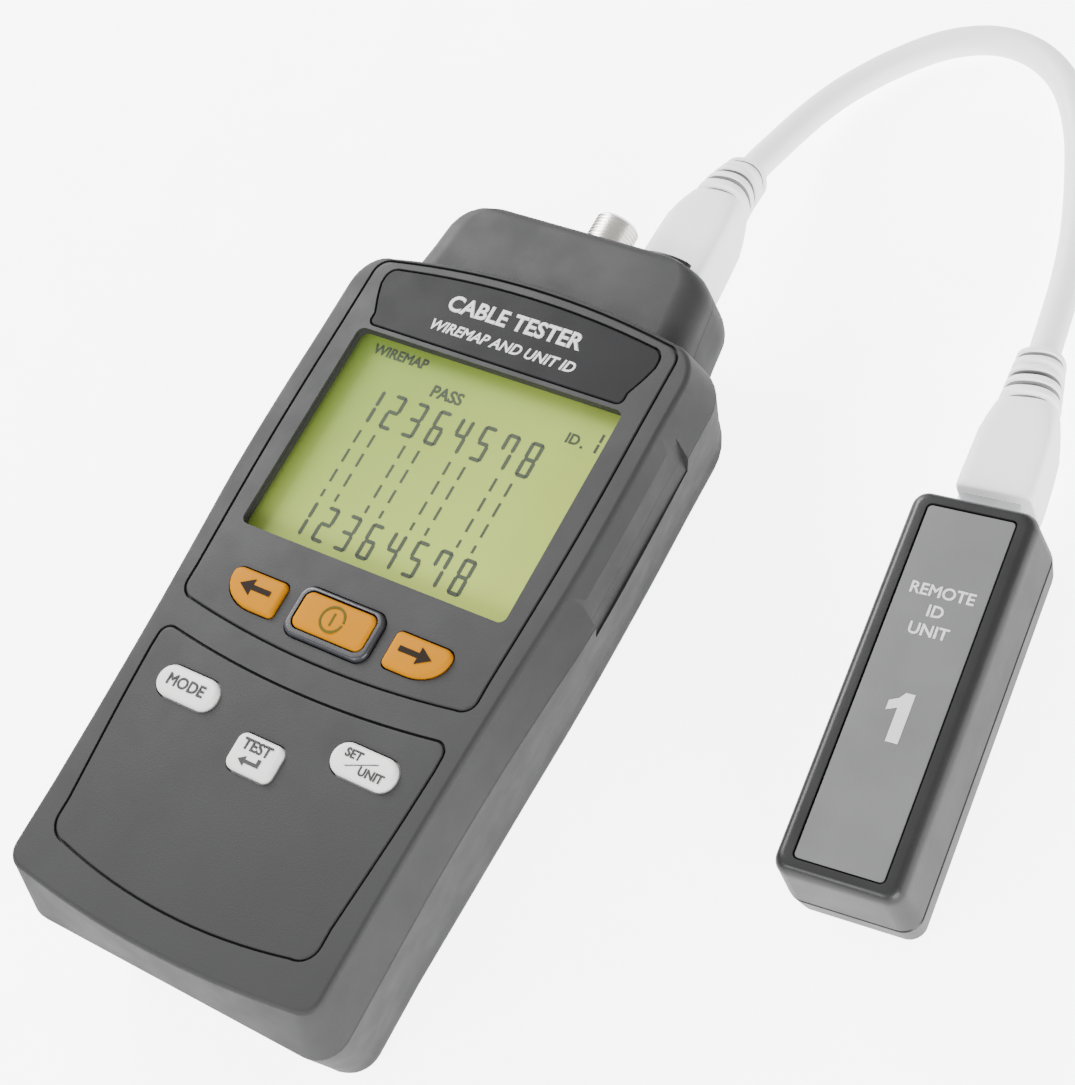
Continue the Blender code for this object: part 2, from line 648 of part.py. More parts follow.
def comb(name, centre_x, y, z, pins, pitch, slot, parent=None, pin_width=0.5):
    """Row of contact blades joined by a bar: a flat comb, y[0] at the tips."""
    bar = 1.2
    half = (pins - 1) * pitch / 2 + pin_width / 2
    plan = [(centre_x - half, y[1]), (centre_x - half, y[0])]
    for k in range(pins):
        x = centre_x - (pins - 1) * pitch / 2 + k * pitch
        if k:
            plan += [(x - pin_width / 2, y[1] - bar), (x - pin_width / 2, y[0])]
        plan += [(x + pin_width / 2, y[0])]
        if k < pins - 1:
            plan += [(x + pin_width / 2, y[1] - bar)]
    plan.append((centre_x + half, y[1]))
    return loft_object(name, [at_height(plan, z[0]), at_height(plan, z[1])], slot, parent)


def modular_jack(name, centre_x, half_width, y, z, mouth_half, mouth_z, latch_half, parent=None):
    """Jack block with a plug cavity, a latch channel below it and a contact groove above."""
    block = box_object(name, (centre_x - half_width, centre_x + half_width), y, z,
                       "black_plastic", parent)
    depth = y[1] - 14.0
    out = y[1] + 2.0
    cuts = bmesh.new()
    add_box(cuts, (centre_x - mouth_half, centre_x + mouth_half), (depth, out), mouth_z)
    cavity = object_from_bmesh(name + "_cavity", cuts, None, parent)
    boolean(block, cavity)
    channel = bmesh.new()
    add_box(channel, (centre_x - latch_half, centre_x + latch_half), (depth, out),
            (z[0] + 0.9, mouth_z[0] + 0.5))
    add_box(channel, (centre_x - mouth_half + 0.8, centre_x + mouth_half - 0.8),
            (depth, y[1] - 1.2), (mouth_z[1] - 0.5, z[1] - 0.6))
    boolean(block, object_from_bmesh(name + "_channels", channel, None, parent))
    return block


def plug_centre_z(jack_z):
    return (jack_z[0] + jack_z[1]) / 2 + PLUG_LIFT


def lan_jack(name, centre_x, front_y, jack_z, parent=None):
    middle = plug_centre_z(jack_z)
    mouth_z = (middle - PLUG_HEIGHT / 2 - 0.4, middle + PLUG_HEIGHT / 2 + 0.4)
    modular_jack(name, centre_x, 7.9, (front_y - 20.0, front_y), jack_z,
                 PLUG_WIDTH / 2 + 0.35, mouth_z, 3.4, parent)
    comb(name + "_contacts", centre_x, (front_y - 12.6, front_y - 3.0),
         (mouth_z[1] + 0.2, mouth_z[1] + 0.5), 8, 1.02, "gold", parent)


def connectors():
    lan_jack("lan_jack", LAN_X, LAN_FRONT_Y, JACK_Z)
    phone_mouth = (18.3, 26.0)
    modular_jack("phone_jack", PHONE_X, 6.7, (PHONE_FRONT_Y - 18.0, PHONE_FRONT_Y), JACK_Z,
                 5.0, phone_mouth, 3.2)
    comb("phone_jack_contacts", PHONE_X, (PHONE_FRONT_Y - 12.0, PHONE_FRONT_Y - 3.0),
         (phone_mouth[1] + 0.3, phone_mouth[1] + 0.6), 6, 1.02, "gold")
    coax_connector()


def coax_connector():
    """Threaded F-type barrel through the head's end wall, with its nut inside."""
    crest, root, bore, end = 4.7, 4.3, 3.5, 7.8
    turns, pitch = 6, 1.15
    profile = [(bore, end), (root, end), (crest, end - 0.5)]
    for k in range(turns):
        z = end - 0.5 - k * pitch
        profile += [(crest, z - 0.25), (root, z - 0.65), (crest, z - pitch + 0.05)]
    profile += [(crest, -5.6), (bore, -5.6)]
    place = (0.0, HEAD_FACE_Y, COAX_Z)
    turned("coax_barrel", profile, "nickel", 20, None, place, along_y=True)
    sleeve = [(0.6, 7.0), (3.2, 7.0), (3.2, -5.0), (0.6, -5.0)]
    turned("coax_insulator", sleeve, "white_plastic", 16, None, place, along_y=True)
    nut = bmesh.new()
    nut_y = (HEAD_FACE_Y - 5.2, HEAD_FACE_Y - WALL - 1.0)
    add_cylinder(nut, (0.0, COAX_Z), 6.3, nut_y, 6, "Y")
    nut_object = object_from_bmesh("coax_nut", nut, "nickel")
    hole = bmesh.new()
    add_cylinder(hole, (0.0, COAX_Z), 5.0, (nut_y[0] - 1.0, nut_y[1] + 1.0), 20, "Y")
    boolean(nut_object, object_from_bmesh("nut_hole", hole))


def battery_group():
    middle_z = (BATTERY_Z[0] + BATTERY_Z[1]) / 2
    battery = box_object("battery", (-BATTERY_HALF_WIDTH, BATTERY_HALF_WIDTH), BATTERY_Y,
                         BATTERY_Z, "battery_wrap")
    terminals = bmesh.new()
    for side in (-1, 1):
        add_cylinder(terminals, (side * 6.4, middle_z), 3.0, (BATTERY_Y[1] - 1.0,
                     BATTERY_Y[1] + 2.4), 12, "Y")
    boolean(battery, object_from_bmesh("terminal_shapes", terminals), "UNION")
    snap_y = (BATTERY_Y[1] + GAP, BATTERY_Y[1] + 3.6)
    snap = box_object("battery_snap", (-12.6, 12.6), snap_y, (middle_z - 5.5, middle_z + 5.5),
                      "black_plastic")
    sockets = bmesh.new()
    for side in (-1, 1):
        add_cylinder(sockets, (side * 6.4, middle_z), 3.4, (BATTERY_Y[1] - 1.0,
                     BATTERY_Y[1] + 2.8), 12, "Y")
    boolean(snap, object_from_bmesh("socket_shapes", sockets))
    for name, x, slot in (("battery_lead_red", 5.0, "red_wire"),
                          ("battery_lead_black", -5.0, "black_plastic")):
        route = [(x, snap_y[0] + 1.6, middle_z + 5.5 + GAP), (x, snap_y[0] + 1.8, 19.5),
                 (x, snap_y[0] + 4.4, 22.4), (x, snap_y[0] + 6.8, 24.6),
                 (x, snap_y[0] + 7.4, BOARD_Z[0] - GAP)]
        tube(name, smooth_points(route, 2.4), 0.7, slot)


# ---- tubes and routes --------------------------------------------------------------
def catmull(p0, p1, p2, p3, t):
    return 0.5 * (2 * p1 + (p2 - p0) * t + (2 * p0 - 5 * p1 + 4 * p2 - p3) * t * t
                  + (3 * p1 - p0 - 3 * p2 + p3) * t * t * t)


def smooth_points(route, step):
    """Points about `step` apart along a smooth curve through `route`."""
    knots = [Vector(p) for p in route]
    padded = [2 * knots[0] - knots[1]] + knots + [2 * knots[-1] - knots[-2]]
    dense = []
    for k in range(len(knots) - 1):
        dense += [catmull(*padded[k:k + 4], t / 20) for t in range(20)]
    dense.append(knots[-1])
    lengths = [0.0]
    for before, after in zip(dense, dense[1:]):
        lengths.append(lengths[-1] + (after - before).length)
    count = max(2, round(lengths[-1] / step))
    picked = []
    index = 0
    for k in range(count + 1):
        target = lengths[-1] * k / count
        while index < len(lengths) - 2 and lengths[index + 1] < target:
            index += 1
        part = (target - lengths[index]) / max(lengths[index + 1] - lengths[index], 1e-9)
        picked.append(dense[index].lerp(dense[index + 1], min(max(part, 0.0), 1.0)))
    return picked


def tube(name, points, radius, slot, resolution=2):
    """Round tube through `points`, as a closed mesh."""
    curve = bpy.data.curves.new(name, "CURVE")
    curve.dimensions = "3D"
    curve.bevel_depth = radius * MM
    curve.bevel_resolution = resolution
    curve.render_resolution_u = 0
    curve.use_fill_caps = True
    spline = curve.splines.new("POLY")
    spline.points.add(len(points) - 1)
    for target, point in zip(spline.points, points):
        target.co = (*(Vector(point) * MM), 1.0)
    curve.materials.append(material(slot))
    obj = bpy.data.objects.new(name, curve)
    PARTS.objects.link(obj)
    return obj


# ---- patch lead --------------------------------------------------------------------
def boot_sections():
    """(distance, half width, half height, squareness) along the boot."""
    sections = [(0.0, BOOT_HALF_WIDTH, BOOT_HALF_HEIGHT, 7.0), (1.0, 7.4, 6.4, 7.0),
                (8.0, 7.2, 6.3, 7.0), (14.5, 6.9, 6.1, 6.5), (18.5, 6.4, 5.7, 4.5),
                (BOOT_SOLID - 0.3, 5.9, 5.4, 3.2)]
    pitch = (BOOT_LENGTH - BOOT_SOLID) / BOOT_RIBS
    for k in range(BOOT_RIBS):
        start = BOOT_SOLID + k * pitch
        crest = 5.7 - 0.25 * k
        groove = crest - 0.7
        sections += [(start, groove, groove, 2.4), (start + 0.25 * pitch, groove, groove, 2.4),
                     (start + 0.40 * pitch, crest, crest, 2.4),
                     (start + 0.90 * pitch, crest - 0.1, crest - 0.1, 2.4)]
    return sections


def boot(name, spine, parent=None, sides=20):
    """Moulded boot lofted along its spine, from a square base to round ribs."""
    path = smooth_points(spine, 0.5)
    lengths = [0.0]
    for before, after in zip(path, path[1:]):
        lengths.append(lengths[-1] + (after - before).length)
    scale = lengths[-1] / BOOT_LENGTH
    rings = []
    for distance, half_width, half_height, power in boot_sections():
        target = distance * scale
        index = max(k for k, length in enumerate(lengths[:-1]) if length <= target + 1e-9)
        part = (target - lengths[index]) / (lengths[index + 1] - lengths[index])
        centre = path[index].lerp(path[index + 1], part)
        ahead = (path[index + 1] - path[index]).normalized()
        across = ahead.cross(Vector((0.0, 0.0, 1.0))).normalized()
        up = across.cross(ahead)
        ring = []
        for k in range(sides):
            angle = math.tau * (k + 0.5) / sides
            c, s = math.cos(angle), math.sin(angle)
            x = half_width * math.copysign(abs(c) ** (2 / power), c)
            z = half_height * math.copysign(abs(s) ** (2 / power), s)
            ring.append(centre + across * x + up * z)
        rings.append(ring)
    return loft_object(name, rings, "lead_white", parent)


def plug(name, centre_x, tail_y, centre_z, latch_name, parent=None):
    """Modular plug whose nose points along -Y, its contacts on top and latch below."""
    nose = tail_y - PLUG_LENGTH
    half = PLUG_WIDTH / 2
    low, high = centre_z - PLUG_HEIGHT / 2, centre_z + PLUG_HEIGHT / 2
    body = box_object(name, (centre_x - half, centre_x + half), (nose, tail_y), (low, high),
                      "clear_plastic", parent)
    slot_y = (nose - 1.0, nose + 6.6)
    recess = box_object(name + "_contact_recess", (centre_x - 4.6, centre_x + 4.6), slot_y,
                        (high - 1.9, high + 1.0), None, parent)
    boolean(body, recess)
    comb(name + "_contacts", centre_x, (nose + 0.2, nose + 6.2), (high - 1.6, high - 0.1),
         8, 1.02, "gold", parent)
    latch(latch_name, (centre_x, nose + 1.2, low - GAP), parent)


def latch(name, pivot, parent=None):
    """Springy lever hinged at the plug's nose, sloping away under the plug."""
    side = [(-0.6, -0.9), (5.0, -1.7), (5.0, -2.2), (6.4, -2.3), (13.6, -2.3),
            (13.6, -1.4), (6.0, -0.9), (0.6, 0.0), (-0.6, 0.0)]
    bm = bmesh.new()
    half = LATCH_WIDTH / 2
    rings = [[(x, y, z) for y, z in side] for x in (-half, half)]
    add_loft(bm, rings)
    object_from_bmesh(name, bm, "clear_plastic", parent, pivot)


def patch_lead(remote_frame):
    plug_tail = BOOT_A_SPINE[0][1] - GAP
    plug("plug_a", LAN_X, plug_tail, plug_centre_z(JACK_Z), "latch_a")
    boot("boot_a", BOOT_A_SPINE)
    plug("plug_b", 0.0, BOOT_B_SPINE[0][1] - GAP, plug_centre_z(REMOTE_JACK_Z), "latch_b",
         remote_frame)
    boot("boot_b", BOOT_B_SPINE, remote_frame)
    tube("cable", cable_points(), CABLE_DIAMETER / 2, "lead_white", 3)


def remote_to_world(point):
    c, s = math.cos(REMOTE_YAW), math.sin(REMOTE_YAW)
    return Vector((REMOTE_PLACE[0] + point[0] * c - point[1] * s,
                   REMOTE_PLACE[1] + point[0] * s + point[1] * c, point[2]))


def cable_points():
    """The smooth route, starting and ending just off the two boots."""
    start = Vector(BOOT_A_SPINE[-1])
    start_heading = (start - Vector(BOOT_A_SPINE[-2])).normalized()
    end = remote_to_world(BOOT_B_SPINE[-1])
    end_heading = (end - remote_to_world(BOOT_B_SPINE[-2])).normalized()
    route = [start + start_heading * GAP, *[Vector(p) for p in CABLE_ROUTE],
             end + end_heading * GAP]
    return smooth_points(route, CABLE_STEP)


# ---- remote unit -------------------------------------------------------------------
def remote_ring(half_width, half_length, z, radius):
    outline = rounded_outline((-half_width, half_width), (-half_length, half_length), radius)
    return at_height(outline, z)


def remote_unit(frame):
    length = REMOTE_HALF_LENGTH
    top = loft_object("remote_top_case", [
        remote_ring(12.5, length, REMOTE_SPLIT_Z + GAP / 2, 3.6),
        remote_ring(11.6, length - 0.6, REMOTE_TOP_Z - 2.4, 3.2),
        remote_ring(11.0, length - 1.0, REMOTE_TOP_Z - 0.8, 2.8),
        remote_ring(9.9, length - 1.9, REMOTE_TOP_Z, 2.2)], "case_plastic", frame)
    boolean(top, loft_object("remote_top_hollow", [
        remote_ring(10.8, length - 1.9, REMOTE_SPLIT_Z - 1.0, 2.0),
        remote_ring(9.9, length - 2.4, REMOTE_TOP_Z - 2.4, 2.0)], None, frame))
    label = rounded_outline((-LABEL_HALF[0], LABEL_HALF[0]), (-LABEL_HALF[1], LABEL_HALF[1]), 0.8)
    recess = offset_outline(label, GAP)
    boolean(top, loft_object("label_recess", [
        at_height(recess, REMOTE_TOP_Z - 1.0), at_height(recess, REMOTE_TOP_Z + 1.0)], None, frame))
    loft_object("remote_label", [at_height(label, REMOTE_TOP_Z - 0.7),
                                 at_height(label, REMOTE_TOP_Z - 0.2)], "label_grey", frame)
    bottom = loft_object("remote_bottom_case", [
        remote_ring(10.6, length - 1.8, 0.0, 2.6), remote_ring(11.9, length - 0.7, 1.2, 3.2),
        remote_ring(12.5, length, REMOTE_SPLIT_Z - GAP / 2, 3.6)], "case_plastic", frame)
    boolean(bottom, loft_object("remote_bottom_hollow", [
        remote_ring(10.0, length - 2.6, 1.8, 2.0),
        remote_ring(10.8, length - 1.9, REMOTE_SPLIT_Z + 1.0, 2.0)], None, frame))
    mouth = box_object("remote_mouth", (-8.3, 8.3), (length - 6.0, length + 5.0),
                       (REMOTE_JACK_Z[0] - 0.4, REMOTE_JACK_Z[1] + 0.3), None, frame)
    boolean(top, mouth)
    boolean(bottom, mouth)
    remote_inside(frame, top, bottom, length)


def remote_inside(frame, top, bottom, length):
    lan_jack("remote_jack", 0.0, length + 0.5, REMOTE_JACK_Z, frame)
    board = box_object("remote_board", (-9.2, 9.2), (-26.0, length - 3.4), REMOTE_BOARD_Z,
                       "board", frame)
    posts = bmesh.new()
    lower = bmesh.new()
    holes = bmesh.new()
    drills = bmesh.new()
    passages = bmesh.new()
    for number, y in enumerate(REMOTE_SCREWS_Y, 1):
        add_cylinder(lower, (0.0, y), 3.1, (1.0, REMOTE_SPLIT_Z - GAP), 14)
        add_cylinder(posts, (0.0, y), 2.6, (REMOTE_SPLIT_Z + GAP, REMOTE_TOP_Z - 1.6), 14)
        add_cylinder(passages, (0.0, y), 3.0, (REMOTE_BOARD_Z[0] - 1.0, REMOTE_BOARD_Z[1] + 1.0),
                     14)
        add_cylinder(holes, (0.0, y), 1.9, (-2.0, 3.2), 14)
        add_cylinder(drills, (0.0, y), 1.2, (2.2, 14.0), 12)
        screw_profile(f"remote_screw_{number}", (0.0, y, 1.2), 1.6, 1.7, 0.9, 11.5, "steel", frame)
    boolean(bottom, object_from_bmesh("remote_lower_posts", lower, None, frame), "UNION")
    boolean(top, object_from_bmesh("remote_posts", posts, None, frame), "UNION")
    drilled = object_from_bmesh("remote_drills", drills, None, frame)
    boolean(bottom, object_from_bmesh("remote_holes", holes, None, frame))
    boolean(bottom, drilled)
    boolean(top, drilled)
    boolean(board, object_from_bmesh("remote_board_holes", passages, None, frame))


# ---- build -------------------------------------------------------------------------
clear_scene()
PARTS = make_collection("cable_tester")
CUTTERS = make_collection("cutters")
front_case()
back_case()
battery_door()
front_panels()
keys()
display_stack()
main_board()
keypad_mat()
screws()
connectors()
battery_group()
remote_frame_empty = bpy.data.objects.new("remote_frame", None)
remote_frame_empty.location = (REMOTE_PLACE[0] * MM, REMOTE_PLACE[1] * MM, 0.0)
remote_frame_empty.rotation_euler = (0.0, 0.0, REMOTE_YAW)
PARTS.objects.link(remote_frame_empty)
remote_unit(remote_frame_empty)
patch_lead(remote_frame_empty)
bpy.context.view_layer.update()
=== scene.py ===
"""Looks of the network cable tester, its patch lead and its remote unit.

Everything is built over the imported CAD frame, in the frame's own place: +X is the
tester's right, +Y points out of its connector head and +Z out of its front face.
Sizes are millimetres and are turned into metres where a mesh or a place is made.
"""
import math
from typing import NamedTuple

import bmesh
import bpy
from mathutils import Matrix, Vector


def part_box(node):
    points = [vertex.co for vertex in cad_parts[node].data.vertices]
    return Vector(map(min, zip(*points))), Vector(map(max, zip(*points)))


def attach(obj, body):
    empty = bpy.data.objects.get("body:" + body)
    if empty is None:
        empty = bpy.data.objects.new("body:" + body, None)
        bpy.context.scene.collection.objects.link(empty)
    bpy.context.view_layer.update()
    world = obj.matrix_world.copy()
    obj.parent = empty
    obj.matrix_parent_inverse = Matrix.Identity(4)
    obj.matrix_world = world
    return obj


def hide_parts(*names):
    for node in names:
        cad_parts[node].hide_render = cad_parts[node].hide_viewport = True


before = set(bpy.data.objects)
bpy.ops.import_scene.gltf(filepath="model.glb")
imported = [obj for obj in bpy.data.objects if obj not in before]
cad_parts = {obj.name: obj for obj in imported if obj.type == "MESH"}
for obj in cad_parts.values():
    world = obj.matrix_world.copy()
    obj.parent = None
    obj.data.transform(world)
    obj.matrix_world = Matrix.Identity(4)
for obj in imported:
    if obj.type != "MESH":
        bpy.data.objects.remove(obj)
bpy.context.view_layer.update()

MM = 0.001
SCENE = bpy.context.scene


def box_mm(node):
    """Lowest and highest corner of a CAD node, in millimetres."""
    low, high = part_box(node)
    return low / MM, high / MM


def linked(name, data):
    """A new object of this data, linked to the scene."""
    obj = bpy.data.objects.new(name, data)
    SCENE.collection.objects.link(obj)
    return obj


# ---- camera, lights and floor ----
CAMERA_PLACE = (229.1, -98.7, 372.5)
CAMERA_RIGHT = (0.81621, 0.47570, -0.32789)
CAMERA_UP = (-0.30097, 0.83452, 0.46152)
CAMERA_BACK = (0.49317, -0.27801, 0.82431)
CAMERA_LENS = 75.17
FLOOR_GLOW_SEEN = 6.0          # the floor's own brightness in the camera's view
FLOOR_GLOW = 1.4               # a light table, which whitens the floor and the side walls


def make_camera():
    data = bpy.data.cameras.new("camera")
    data.sensor_fit = "HORIZONTAL"
    data.sensor_width = 36.0
    data.lens = CAMERA_LENS
    data.clip_start = 0.01
    data.clip_end = 20.0
    camera = linked("camera", data)
    turn = Matrix((CAMERA_RIGHT, CAMERA_UP, CAMERA_BACK)).transposed()
    camera.matrix_world = Matrix.Translation(Vector(CAMERA_PLACE) * MM) @ turn.to_4x4()
    SCENE.camera = camera


def area_light(name, place, target, size, power):
    data = bpy.data.lights.new(name, "AREA")
    data.shape = "RECTANGLE"
    data.size, data.size_y = size[0] * MM, size[1] * MM
    data.energy = power
    lamp = linked(name, data)
    lamp.location = Vector(place) * MM
    heading = (Vector(target) - Vector(place)).normalized()
    lamp.rotation_mode = "QUATERNION"
    lamp.rotation_quaternion = heading.to_track_quat("-Z", "Y")


def make_lights():
    centre = (40.0, 30.0, 0.0)
    area_light("key_light", (-760.0, 420.0, 560.0), centre, (520.0, 520.0), 19.0)
    area_light("fill_light", (-120.0, -760.0, 620.0), centre, (700.0, 400.0), 8.0)
    area_light("side_light", (620.0, -240.0, 170.0), centre, (420.0, 240.0), 5.0)
    world = bpy.data.worlds.new("studio")
    world.use_nodes = True
    set_inputs(world.node_tree.nodes["Background"],
               {"Color": (1.0, 1.0, 1.0, 1.0), "Strength": 0.60})
    SCENE.world = world


def make_floor():
    bm = bmesh.new()
    bmesh.ops.create_grid(bm, x_segments=1, y_segments=1, size=4.0)
    mesh = bpy.data.meshes.new("floor")
    bm.to_mesh(mesh)
    bm.free()
    floor = linked("floor", mesh)
    floor.location = (0.0, 0.0, -0.0002)
    paper = plastic("floor_paper", (0.88, 0.88, 0.88), 0.9, grain=0.0, specular=0.0)
    tree = paper.node_tree
    glow = tree.nodes["Principled BSDF"].inputs
    glow["Emission Color"].default_value = (1.0, 1.0, 1.0, 1.0)
    seen = add_node(tree, "ShaderNodeMapRange")
    set_inputs(seen, {"To Min": FLOOR_GLOW, "To Max": FLOOR_GLOW_SEEN})
    tree.links.new(add_node(tree, "ShaderNodeLightPath").outputs["Is Camera Ray"],
                   seen.inputs["Value"])
    tree.links.new(seen.outputs["Result"], glow["Emission Strength"])
    mesh.materials.append(paper)


# ---- materials ----
def add_node(tree, kind, **settings):
    node = tree.nodes.new(kind)
    for key, value in settings.items():
        setattr(node, key, value)
    return node


def set_inputs(node, values):
    for socket, value in values.items():
        node.inputs[socket].default_value = value


def noise(tree, scale, detail=3.0):
    """Noise of features about 1/scale metres across, fixed to the object."""
    place = tree.nodes.get("Texture Coordinate") or add_node(tree, "ShaderNodeTexCoord")
    texture = add_node(tree, "ShaderNodeTexNoise")
    set_inputs(texture, {"Scale": scale, "Detail": detail})
    tree.links.new(place.outputs["Object"], texture.inputs["Vector"])
    return texture.outputs["Fac"]


def spread(tree, value, low, high):
    """Map a 0.3 to 0.7 noise value to low to high."""
    mapped = add_node(tree, "ShaderNodeMapRange")
    set_inputs(mapped, {"From Min": 0.3, "From Max": 0.7, "To Min": low, "To Max": high})
    tree.links.new(value, mapped.inputs["Value"])
    return mapped.outputs["Result"]


def tinted(tree, color, factor_output):
    """The colour times a grey factor."""
    mix = add_node(tree, "ShaderNodeVectorMath", operation="SCALE")
    mix.inputs[0].default_value = color
    tree.links.new(factor_output, mix.inputs["Scale"])
    return mix.outputs[0]


def plastic(name, color, roughness, grain=0.15, grain_scale=2600.0, variation=0.05,
            metallic=0.0, coat=0.0, alpha=1.0, specular=0.5, glow=0.0):
    """Principled material with mottled colour, uneven gloss and a fine moulded grain."""
    made = bpy.data.materials.new(name)
    made.use_nodes = True
    tree = made.node_tree
    shader = tree.nodes["Principled BSDF"]
    # glow is painted light: an emission in the part's own colour, so the part shines though it is
    # no lamp
    set_inputs(shader, {"Metallic": metallic, "Coat Weight": coat, "Alpha": alpha,
                        "Specular IOR Level": specular, "Emission Color": (*color, 1.0),
                        "Emission Strength": glow})
    mottle = spread(tree, noise(tree, 60.0), 1.0 - variation, 1.0 + variation)
    tree.links.new(tinted(tree, color, mottle), shader.inputs["Base Color"])
    sheen = spread(tree, noise(tree, 140.0, 4.0), roughness * 0.9, min(roughness * 1.1, 1.0))
    tree.links.new(sheen, shader.inputs["Roughness"])
    if grain:
        bump = add_node(tree, "ShaderNodeBump")
        set_inputs(bump, {"Strength": grain, "Distance": 0.0002})
        tree.links.new(noise(tree, grain_scale, 2.0), bump.inputs["Height"])
        tree.links.new(bump.outputs["Normal"], shader.inputs["Normal"])
    return made


def display_material():
    """Yellow-green display, lighter towards its lower right corner."""
    made = plastic("display", (0.5, 0.6, 0.2), 0.5, grain=0.0, specular=0.1)
    tree = made.node_tree
    shader = tree.nodes["Principled BSDF"]
    place = tree.nodes["Texture Coordinate"]
    apart = add_node(tree, "ShaderNodeSeparateXYZ")
    tree.links.new(place.outputs["Object"], apart.inputs["Vector"])
    slope = add_node(tree, "ShaderNodeMath", operation="SUBTRACT")
    tree.links.new(apart.outputs["X"], slope.inputs[0])
    tree.links.new(apart.outputs["Y"], slope.inputs[1])
    along = add_node(tree, "ShaderNodeMapRange")
    set_inputs(along, {"From Min": -0.072, "From Max": 0.030})
    tree.links.new(slope.outputs[0], along.inputs["Value"])
    ramp = add_node(tree, "ShaderNodeValToRGB")
    ramp.color_ramp.elements[0].color = (0.19, 0.31, 0.0, 1.0)
    ramp.color_ramp.elements[1].color = (0.46, 0.57, 0.060, 1.0)
    tree.links.new(along.outputs["Result"], ramp.inputs["Fac"])
    tree.links.new(ramp.outputs["Color"], shader.inputs["Base Color"])
    tree.links.new(ramp.outputs["Color"], shader.inputs["Emission Color"])
    shader.inputs["Emission Strength"].default_value = 0.08
    return made


# colour, roughness, and what else differs from ordinary plastic
LOOKS = {
    "case": ((0.037, 0.037, 0.038), 0.55, dict(grain=0.10, specular=0.25)),
    "panel": ((0.034, 0.034, 0.035), 0.53, dict(grain=0.10, specular=0.25)),
    "plate": ((0.012, 0.012, 0.013), 0.45, dict(grain=0.05, specular=0.12)),
    "remote": ((0.022, 0.022, 0.023), 0.36, dict(grain=0.10, specular=0.35)),
    "label": ((0.155, 0.156, 0.158), 0.45, dict(grain=0.10, variation=0.08)),
    "orange": ((0.56, 0.215, 0.0), 0.5, dict(grain=0.05, specular=0.05)),
    # painted light: the glow makes the white keys and the coax core shine by themselves, though
    # they are no lamp
    "white_key": ((0.93, 0.93, 0.92), 0.42, dict(grain=0.04, glow=0.15)),
    "ring": ((0.035, 0.035, 0.042), 0.35, dict(grain=0.05)),
    "lens": ((0.9, 0.95, 0.9), 0.05, dict(grain=0.0, alpha=0.03, specular=0.15)),
    "segment": ((0.020, 0.034, 0.006), 0.6, dict(grain=0.0, specular=0.1)),
    "ink_black": ((0.018, 0.018, 0.018), 0.5, dict(grain=0.0)),
    "ink_brown": ((0.018, 0.010, 0.006), 0.6, dict(grain=0.0, specular=0.1)),
    "ink_olive": ((0.10, 0.09, 0.010), 0.6, dict(grain=0.0, specular=0.1)),
    "ink_white": ((0.80, 0.80, 0.80), 0.5, dict(grain=0.0)),
    "milky": ((0.80, 0.85, 0.70), 0.5, dict()),
    "rubber": ((0.30, 0.30, 0.31), 0.8, dict(grain=0.2)),
    "board": ((0.02, 0.16, 0.06), 0.4, dict(grain=0.05, coat=0.3)),
    "black": ((0.020, 0.020, 0.022), 0.42, dict(grain=0.08)),
    "nickel": ((0.93, 0.91, 0.87), 0.34, dict(grain=0.05, metallic=1.0)),
    "gold": ((0.85, 0.62, 0.25), 0.25, dict(grain=0.0, metallic=1.0)),
    "steel": ((0.46, 0.46, 0.46), 0.34, dict(grain=0.1, metallic=1.0)),
    "clear": ((0.86, 0.89, 0.90), 0.12, dict(grain=0.0, alpha=0.45, coat=0.4)),
    # painted light: the glow makes the white cable and boots shine by themselves, though they are
    # no lamp
    "white_pvc": ((0.95, 0.95, 0.95), 0.45,
                  dict(grain=0.05, grain_scale=900.0, variation=0.02, glow=0.50)),
    # painted shade for the bottoms of the grooves between the boot's ribs
    "groove": ((0.24, 0.24, 0.24), 0.6, dict(grain=0.0)),
    "battery_foil": ((0.10, 0.22, 0.36), 0.3, dict(grain=0.05, coat=0.3)),
    "red_wire": ((0.55, 0.03, 0.03), 0.45, dict()),
}


def make_materials():
    made = {name: plastic(name, color, roughness, **rest)
            for name, (color, roughness, rest) in LOOKS.items()}
    made["display"] = display_material()
    return made


# ---- mesh helpers ----
def new_object(name, bm):
    """A mesh object from a bmesh in millimetres, facing out and linked to the scene."""
    bmesh.ops.recalc_face_normals(bm, faces=bm.faces)
    if bm.calc_volume(signed=True) < 0.0:
        bmesh.ops.reverse_faces(bm, faces=bm.faces)
    bmesh.ops.scale(bm, vec=(MM, MM, MM), verts=bm.verts)
    mesh = bpy.data.meshes.new(name)
    bm.to_mesh(mesh)
    bm.free()
    return linked(name, mesh)


def evaluated_copy(obj):
    graph = bpy.context.evaluated_depsgraph_get()
    graph.update()
    return bpy.data.meshes.new_from_object(obj.evaluated_get(graph))


def combine(obj, bm, operation="DIFFERENCE"):
    """Apply a Boolean with the bmesh as the other operand, and drop that operand.

    Both are made of triangles first, since a large sloping face is never quite flat.
    """
    bmesh.ops.triangulate(bm, faces=bm.faces)
    other = new_object(obj.name + "_other", bm)
    body = bmesh.new()
    body.from_mesh(obj.data)
    bmesh.ops.triangulate(body, faces=body.faces)
    body.to_mesh(obj.data)
    body.free()
    modifier = obj.modifiers.new("boolean", "BOOLEAN")
    modifier.operation = operation
    modifier.solver = "EXACT"
    modifier.object = other
    result = evaluated_copy(obj)
    obj.modifiers.clear()
    obj.data = result
    bpy.data.objects.remove(other, do_unlink=True)


